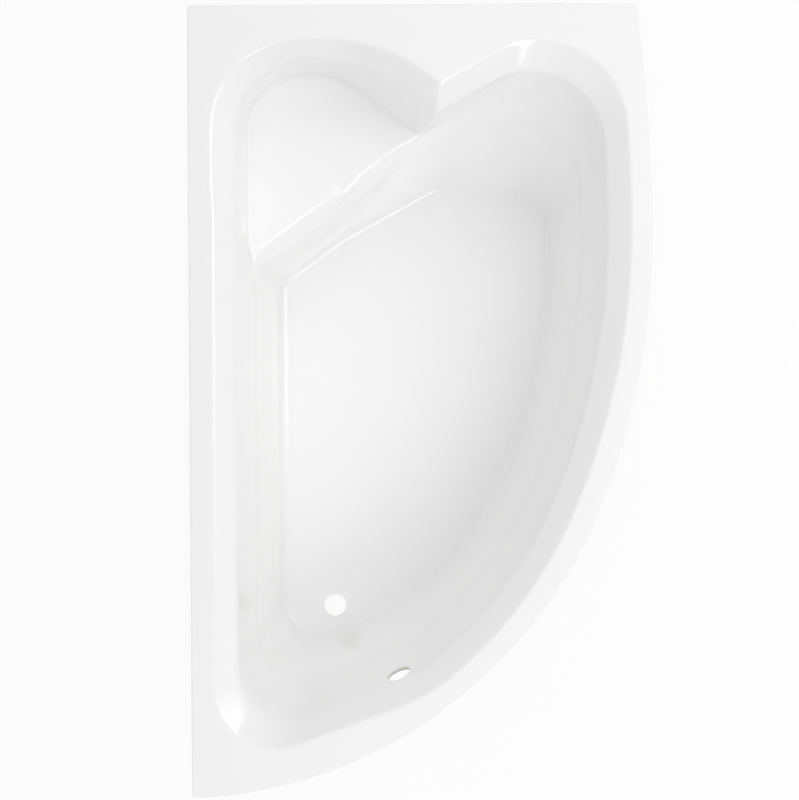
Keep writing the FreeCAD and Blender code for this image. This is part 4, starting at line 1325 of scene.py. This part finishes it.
def bead_places():
    """Middle and turn of every bead, along X or along Y."""
    half = TUBE_WIDTH / 2.0
    places = []
    for post in POST_NODES:
        for z in (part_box(post)[0].z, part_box(post)[1].z):
            for side in (-half, half):
                places.append((over_middle(post, z) + Vector((0.0, side, 0.0)), ALONG_X))
                places.append((over_middle(post, z) + Vector((side, 0.0, 0.0)), ALONG_Y))
    for rail in ("wall_rail", "middle_rail_wall_side", "middle_rail_front_side"):
        low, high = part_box(rail)
        for cross in ("head", "middle", "foot"):
            y = over_middle("cross_rail_" + cross, 0.0).y
            places += [(Vector((x, y, low.z)), ALONG_Y) for x in (low.x, high.x)]
    return places


def copies(model, name, places):
    """Copies of a model at (place, turn matrix), each with its own mesh, joined as one."""
    pieces = [copy_of(model, name) for place in places]
    for piece, (spot, turn) in zip(pieces, places):
        piece.data.transform(Matrix.Translation(spot) @ turn.to_4x4())
    bpy.data.objects.remove(model)
    pick(*pieces)
    bpy.ops.object.join()
    return pieces[0]


ALONG_X = Matrix.Identity(3)
ALONG_Y = Matrix.Rotation(math.pi / 2.0, 3, "Z")
beads = copies(model_bead(), "weld_beads", bead_places())
shade(beads, LUMPY_ANGLE)
print("weld beads:", len(bead_places()))

# %% Weld metal
# under zinc spray, with a straw and blue heat tint in places
WELD_METAL = make_finish(
    "weld_metal", metallic=1.0, tone_scale=60.0,
    stops=[(0.0, (0.30, 0.31, 0.34)), (0.5, (0.46, 0.46, 0.46)), (1.0, (0.58, 0.52, 0.42))],
    gloss=dict(scale=110.0, low=0.32, high=0.58), grain=dict(scale=500.0),
    depth=0.0003, strength=0.6)
stand_in(beads, WELD_METAL, "bath", "galvanised_tube")
print("beads finished in", WELD_METAL.name)

# %% [markdown]
# ## Plates and end caps
# Sheared plates and moulded caps have no sharp edge either, but a small round one: 0.4 mm
# on the plates, from the press, and 0.8 mm on the caps, from the mould. A Bevel
# modifier, limited to real corners, rounds copies of the construction pieces.

# %% Bevelled copies
PLATE_EDGE = 0.4 * MM
CAP_EDGE = 0.8 * MM
CORNER_ANGLE = math.radians(40.0)


def bevelled(node, name, width, segments=2):
    """A copy of a construction piece with every corner rounded a little."""
    piece = fresh_copy(node, name)
    apply_modifier(piece, "BEVEL", width=width, segments=segments, limit_method="ANGLE",
                   angle_limit=CORNER_ANGLE, use_clamp_overlap=True)
    shade(piece)
    return piece


plates = bevelled("post_plates", "post_plates_pressed", PLATE_EDGE)
caps = bevelled("tube_end_caps", "tube_end_caps_moulded", CAP_EDGE)
print("plates and caps rounded")

# %% Plated sheet and moulded plastic
# the plates' gloss and relief are the same fine lines, drawn by the rolling mill
MILL_LINES = dict(scale=900.0, low=0.24, high=0.42, stretch=0.03, detail=1.0)
ZINC_PLATE = make_finish(
    "zinc_plated_sheet", metallic=1.0, tone_scale=25.0,
    stops=[(0.0, (0.58, 0.59, 0.61)), (1.0, (0.74, 0.75, 0.75))],
    gloss=MILL_LINES, grain=MILL_LINES, depth=0.0001, strength=0.4)


def make_plastic(name, dark, light, low, high):
    """Moulded plastic: a fine eroded grain, with duller patches where it was handled."""
    return make_finish(
        name, metallic=0.0, tone_scale=12.0, stops=[(0.0, dark), (1.0, light)],
        gloss=dict(scale=35.0, low=low, high=high), grain=dict(scale=1400.0, detail=1.0),
        depth=0.0001, strength=0.5)


CAP_PLASTIC = make_plastic("black_polyethylene", (0.035, 0.035, 0.036), (0.062, 0.061, 0.060),
                           0.42, 0.62)
stand_in(plates, ZINC_PLATE, "bath", "zinc_plate", "post_plates")
stand_in(caps, CAP_PLASTIC, "bath", "black_plastic", "tube_end_caps")
print("finishes:", ZINC_PLATE.name, "and", CAP_PLASTIC.name)

# %% [markdown]
# ## Screw threads
# A thread is one tooth that climbs as it turns. The Screw modifier turns a short
# profile, one pitch high, and stacks the turns. Both ends of the spiral are then cut
# off square by a bisect that fills its cut, so the rod is closed.

# %% Model a threaded rod
THREAD_STEPS = 18
THREAD_MERGE = 0.01 * MM
# one tooth's profile: share of the pitch, share of the depth
TOOTH = ((0.0, 0.0), (0.40, 1.0), (0.55, 1.0), (0.95, 0.0), (1.0, 0.0))


def threaded_rod(name, radius, depth, pitch, low, high):
    """Closed rod along Z at the origin, with a thread from low to high."""
    profile = bpy.data.meshes.new(name)
    points = [(radius - depth * (1.0 - out), 0.0, up * pitch) for up, out in TOOTH]
    profile.from_pydata(points, [(i, i + 1) for i in range(len(points) - 1)], [])
    rod = bpy.data.objects.new(name, profile)
    bpy.context.scene.collection.objects.link(rod)
    apply_modifier(rod, "SCREW", angle=2.0 * math.pi, screw_offset=pitch,
                   iterations=math.ceil((high - low) / pitch) + 2, steps=THREAD_STEPS,
                   render_steps=THREAD_STEPS, use_merge_vertices=True, merge_threshold=THREAD_MERGE)
    rod.data.transform(Matrix.Translation((0.0, 0.0, low - pitch)))
    edit(rod)
    for height, way in ((low, -1.0), (high, 1.0)):
        bpy.ops.mesh.select_all(action="SELECT")
        bpy.ops.mesh.bisect(plane_co=(0.0, 0.0, height), plane_no=(0.0, 0.0, way),
                            clear_outer=True, use_fill=True)
    bpy.ops.mesh.select_all(action="SELECT")
    bpy.ops.mesh.remove_doubles(threshold=THREAD_MERGE)
    bpy.ops.mesh.normals_make_consistent(inside=False)
    leave_edit()
    return rod


print("thread steps in a turn:", THREAD_STEPS)

# %% Cylinders, cones and hexagons
TURNED_STEPS = 48
BORE_STEPS = 32
CHAMFER_SHARE = 0.11


def cylinder(vertices, radius, depth, z, top_radius=None):
    """A cylinder or cone round the Z axis with its foot at z."""
    pick()
    place = (0.0, 0.0, z + depth / 2.0)
    if top_radius is None:
        bpy.ops.mesh.primitive_cylinder_add(vertices=vertices, radius=radius, depth=depth,
                                            location=place)
    else:
        bpy.ops.mesh.primitive_cone_add(vertices=vertices, radius1=radius, radius2=top_radius,
                                        depth=depth, location=place)
    piece = bpy.context.object
    settle(piece)
    return piece


def hexagon(across, high, z):
    """Hexagonal block with its six corners turned off to a cone at both ends."""
    corner_radius = across / math.sqrt(3.0)
    block = cylinder(6, corner_radius, high, z)
    turned = cylinder(TURNED_STEPS, corner_radius, high, z)
    mesh = edit(turned)
    for edge in mesh.edges:
        edge.select = abs(edge.verts[0].co.z - edge.verts[1].co.z) < LEVEL
    bpy.ops.mesh.bevel(offset=CHAMFER_SHARE * across / 2.0, segments=1, affect="EDGES")
    leave_edit()
    boolean(block, turned, "INTERSECT")
    return block


print("steps round a turned corner:", TURNED_STEPS)

# %% [markdown]
# ## Feet
# Each foot is an M12 rod that turns in a nylon pad. The rod has a driving hexagon just
# above the pad. Its length and place come from the construction model's box, and the
# same rod is copied to all six feet.

# %% Rods, hexagons and pads
FOOT_NAMES = [name[len("foot_screw_"):] for name in NODES if name.startswith("foot_screw_")]
ROD_RADIUS = 6.0 * MM
ROD_DEPTH = 0.85 * MM
ROD_PITCH = 1.75 * MM
ROD_TIP = 2.0 * MM
ROD_TIP_CONE = 1.5 * MM
DRIVE_ACROSS = 17.0 * MM
DRIVE_HIGH = 9.0 * MM
DRIVE_Z = 20.0 * MM
PAD_EDGE = 1.2 * MM


def model_rod():
    """One foot's rod: thread, driving hexagon and a turned tip."""
    low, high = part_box("foot_screw_" + FOOT_NAMES[0])
    shoulder = high.z - ROD_TIP
    root = ROD_RADIUS - ROD_DEPTH
    rod = threaded_rod("foot_rod", ROD_RADIUS, ROD_DEPTH, ROD_PITCH, low.z, shoulder)
    tip = cylinder(THREAD_STEPS, root, ROD_TIP, shoulder, top_radius=root - ROD_TIP_CONE)
    drive = hexagon(DRIVE_ACROSS, DRIVE_HIGH, DRIVE_Z)
    pick(rod, tip, drive)
    bpy.ops.object.join()
    shade(rod)
    return rod


def make_bright_zinc(name, low_tone, high_tone, dull):
    """Bright zinc with a greyer bloom where hands and damp have been."""
    return make_finish(
        name, metallic=1.0, tone_scale=45.0, stops=[(0.15, low_tone), (0.85, high_tone)],
        gloss=dict(scale=70.0, low=0.20, high=dull), grain=dict(scale=700.0),
        depth=0.0001, strength=0.25)


BRIGHT_ZINC = make_bright_zinc("bright_zinc", (0.60, 0.61, 0.63), (0.76, 0.77, 0.78), 0.40)
NYLON = make_plastic("black_nylon", (0.075, 0.075, 0.08), (0.12, 0.12, 0.125), 0.32, 0.50)
rod_model = model_rod()
for foot in FOOT_NAMES:
    rod = copy_of(rod_model, "foot_rod_" + foot)
    rod.data.transform(Matrix.Translation(over_middle("foot_screw_" + foot, 0.0)))
    stand_in(rod, BRIGHT_ZINC, "screw_" + foot, "zinc_thread", "foot_screw_" + foot)
    pad = bevelled("foot_pad_" + foot, "foot_pad_moulded_" + foot, PAD_EDGE, 3)
    stand_in(pad, NYLON, "pad_" + foot, "foot_plastic", "foot_pad_" + foot)
bpy.data.objects.remove(rod_model)
print("feet:", ", ".join(FOOT_NAMES))

# %% [markdown]
# ## Nuts
# A weld nut and a lock nut at every foot. One nut is turned and drilled, with a small
# cone at each end of its bore, and copied to the middle of every solid in the two
# construction pieces.

# %% Model one nut and copy it
NUT_ACROSS = 19.0 * MM
NUT_HIGH = 10.0 * MM
NUT_BORE = 6.06 * MM
NUT_CONE = 1.0 * MM


def model_nut():
    """A drilled hexagon with a cone at each end of its bore."""
    nut = hexagon(NUT_ACROSS, NUT_HIGH, -NUT_HIGH / 2.0)
    boolean(nut, cylinder(BORE_STEPS, NUT_BORE, 2.0 * NUT_HIGH, -NUT_HIGH), "DIFFERENCE")
    wide = NUT_BORE + NUT_CONE
    for low, high, z in ((wide, NUT_BORE, -NUT_HIGH / 2.0),
                         (NUT_BORE, wide, NUT_HIGH / 2.0 - NUT_CONE)):
        boolean(nut, cylinder(BORE_STEPS, low, NUT_CONE, z, top_radius=high), "DIFFERENCE")
    shade(nut)
    return nut


def nut_places(node):
    """Middle of the nut at every foot, at the height of a construction piece."""
    low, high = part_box(node)
    height = (low.z + high.z) / 2.0
    return [(over_middle("foot_screw_" + foot, height), ALONG_X) for foot in FOOT_NAMES]


for node in ("weld_nuts", "lock_nuts"):
    nuts = copies(model_nut(), node + "_turned", nut_places(node))
    stand_in(nuts, BRIGHT_ZINC, "bath", "zinc_thread", node)
print("nuts: 2 x", len(FOOT_NAMES))

# %% [markdown]
# ## Tapping screws
# Two kinds of tapping screw hold the boards. Each has a coarse thread and a domed head
# with a cross recess, cut by two crossed wedges. The construction model has a cone for
# a head and a rod for a shank, so each screw is found as one loose part of its mesh.

# %% Model a tapping screw
SHANK_RADIUS = 2.1 * MM
SCREW_DEPTH = 0.5 * MM
SCREW_PITCH = 1.4 * MM
HEAD_RADIUS = 4.2 * MM
HEAD_HIGH = 2.6 * MM
RECESS_LONG = 4.6 * MM
RECESS_WIDE = 0.9 * MM
RECESS_DEEP = 1.5 * MM


HEAD_DOME = 1.5 * MM
SCREW_TIP = 3.0 * MM
SCREW_TIP_RADIUS = 0.2 * MM
TIP_STEPS = 12
SCREW_SUNK = 0.2 * MM
SCREW_TURN = 0.7


def model_head():
    """Domed head below the origin with a cross recess in its face."""
    head = cylinder(BORE_STEPS, HEAD_RADIUS, HEAD_HIGH, -HEAD_HIGH)
    mesh = edit(head)
    for edge in mesh.edges:
        edge.select = all(vert.co.z < -HEAD_HIGH + LEVEL for vert in edge.verts)
    bpy.ops.mesh.bevel(offset=HEAD_DOME, segments=5, affect="EDGES")
    leave_edit()
    for turn in (0.0, math.pi / 2.0):
        pick()
        bpy.ops.mesh.primitive_cube_add(size=1.0, location=(0.0, 0.0, -HEAD_HIGH),
                                        rotation=(0.0, 0.0, turn),
                                        scale=(RECESS_LONG, RECESS_WIDE, 2.0 * RECESS_DEEP))
        tool = bpy.context.object
        settle(tool)
        boolean(head, tool, "DIFFERENCE")
    return head


def model_screw(reach):
    """A screw whose thread reaches up from the underside of its head."""
    shoulder = reach - SCREW_TIP
    screw = threaded_rod("tapping_screw", SHANK_RADIUS, SCREW_DEPTH, SCREW_PITCH, -SCREW_SUNK,
                         shoulder)
    tip = cylinder(TIP_STEPS, SHANK_RADIUS - SCREW_DEPTH, SCREW_TIP, shoulder,
                   top_radius=SCREW_TIP_RADIUS)
    pick(screw, model_head(), tip)
    bpy.ops.object.join()
    shade(screw)
    return screw


def in_order(ends):
    """Sorts by the lowest corner, to 0.1 mm, so that each run has the same order."""
    return [round(value / MM, 1) for value in ends[0]]


def loose_parts(node):
    """Lowest and highest corner of every separate solid of a construction piece."""
    mesh = bmesh.new()
    mesh.from_mesh(NODES[node].data)
    bmesh.ops.remove_doubles(mesh, verts=mesh.verts, dist=MERGE_REACH)
    left = set(mesh.verts)
    parts = []
    while left:
        front = [left.pop()]
        found = list(front)
        while front:
            here = front.pop()
            fresh = {edge.other_vert(here) for edge in here.link_edges} & left
            left.difference_update(fresh)
            front += fresh
            found += fresh
        parts.append([Vector([end(vert.co[i] for vert in found) for i in range(3)])
                      for end in (min, max)])
    mesh.free()
    return sorted(parts, key=in_order)


def place_screws(node, name):
    """A screw in the place of every solid of a construction piece. Gives their number."""
    parts = loose_parts(node)
    reach = parts[0][1].z - parts[0][0].z - HEAD_HIGH
    places = []
    for i, (low, high) in enumerate(parts):
        seat = Vector(((low.x + high.x) / 2.0, (low.y + high.y) / 2.0, low.z + HEAD_HIGH))
        places.append((seat, Matrix.Rotation(SCREW_TURN * i, 3, "Z")))
    stand_in(copies(model_screw(reach), name, places), YELLOW_ZINC, "bath", "zinc_screw", node)
    return len(places)


YELLOW_ZINC = make_bright_zinc("yellow_zinc", (0.70, 0.60, 0.32), (0.74, 0.73, 0.62), 0.36)
print("screws:", place_screws("post_screws", "post_screws_cut"),
      place_screws("board_screws", "board_screws_cut"))
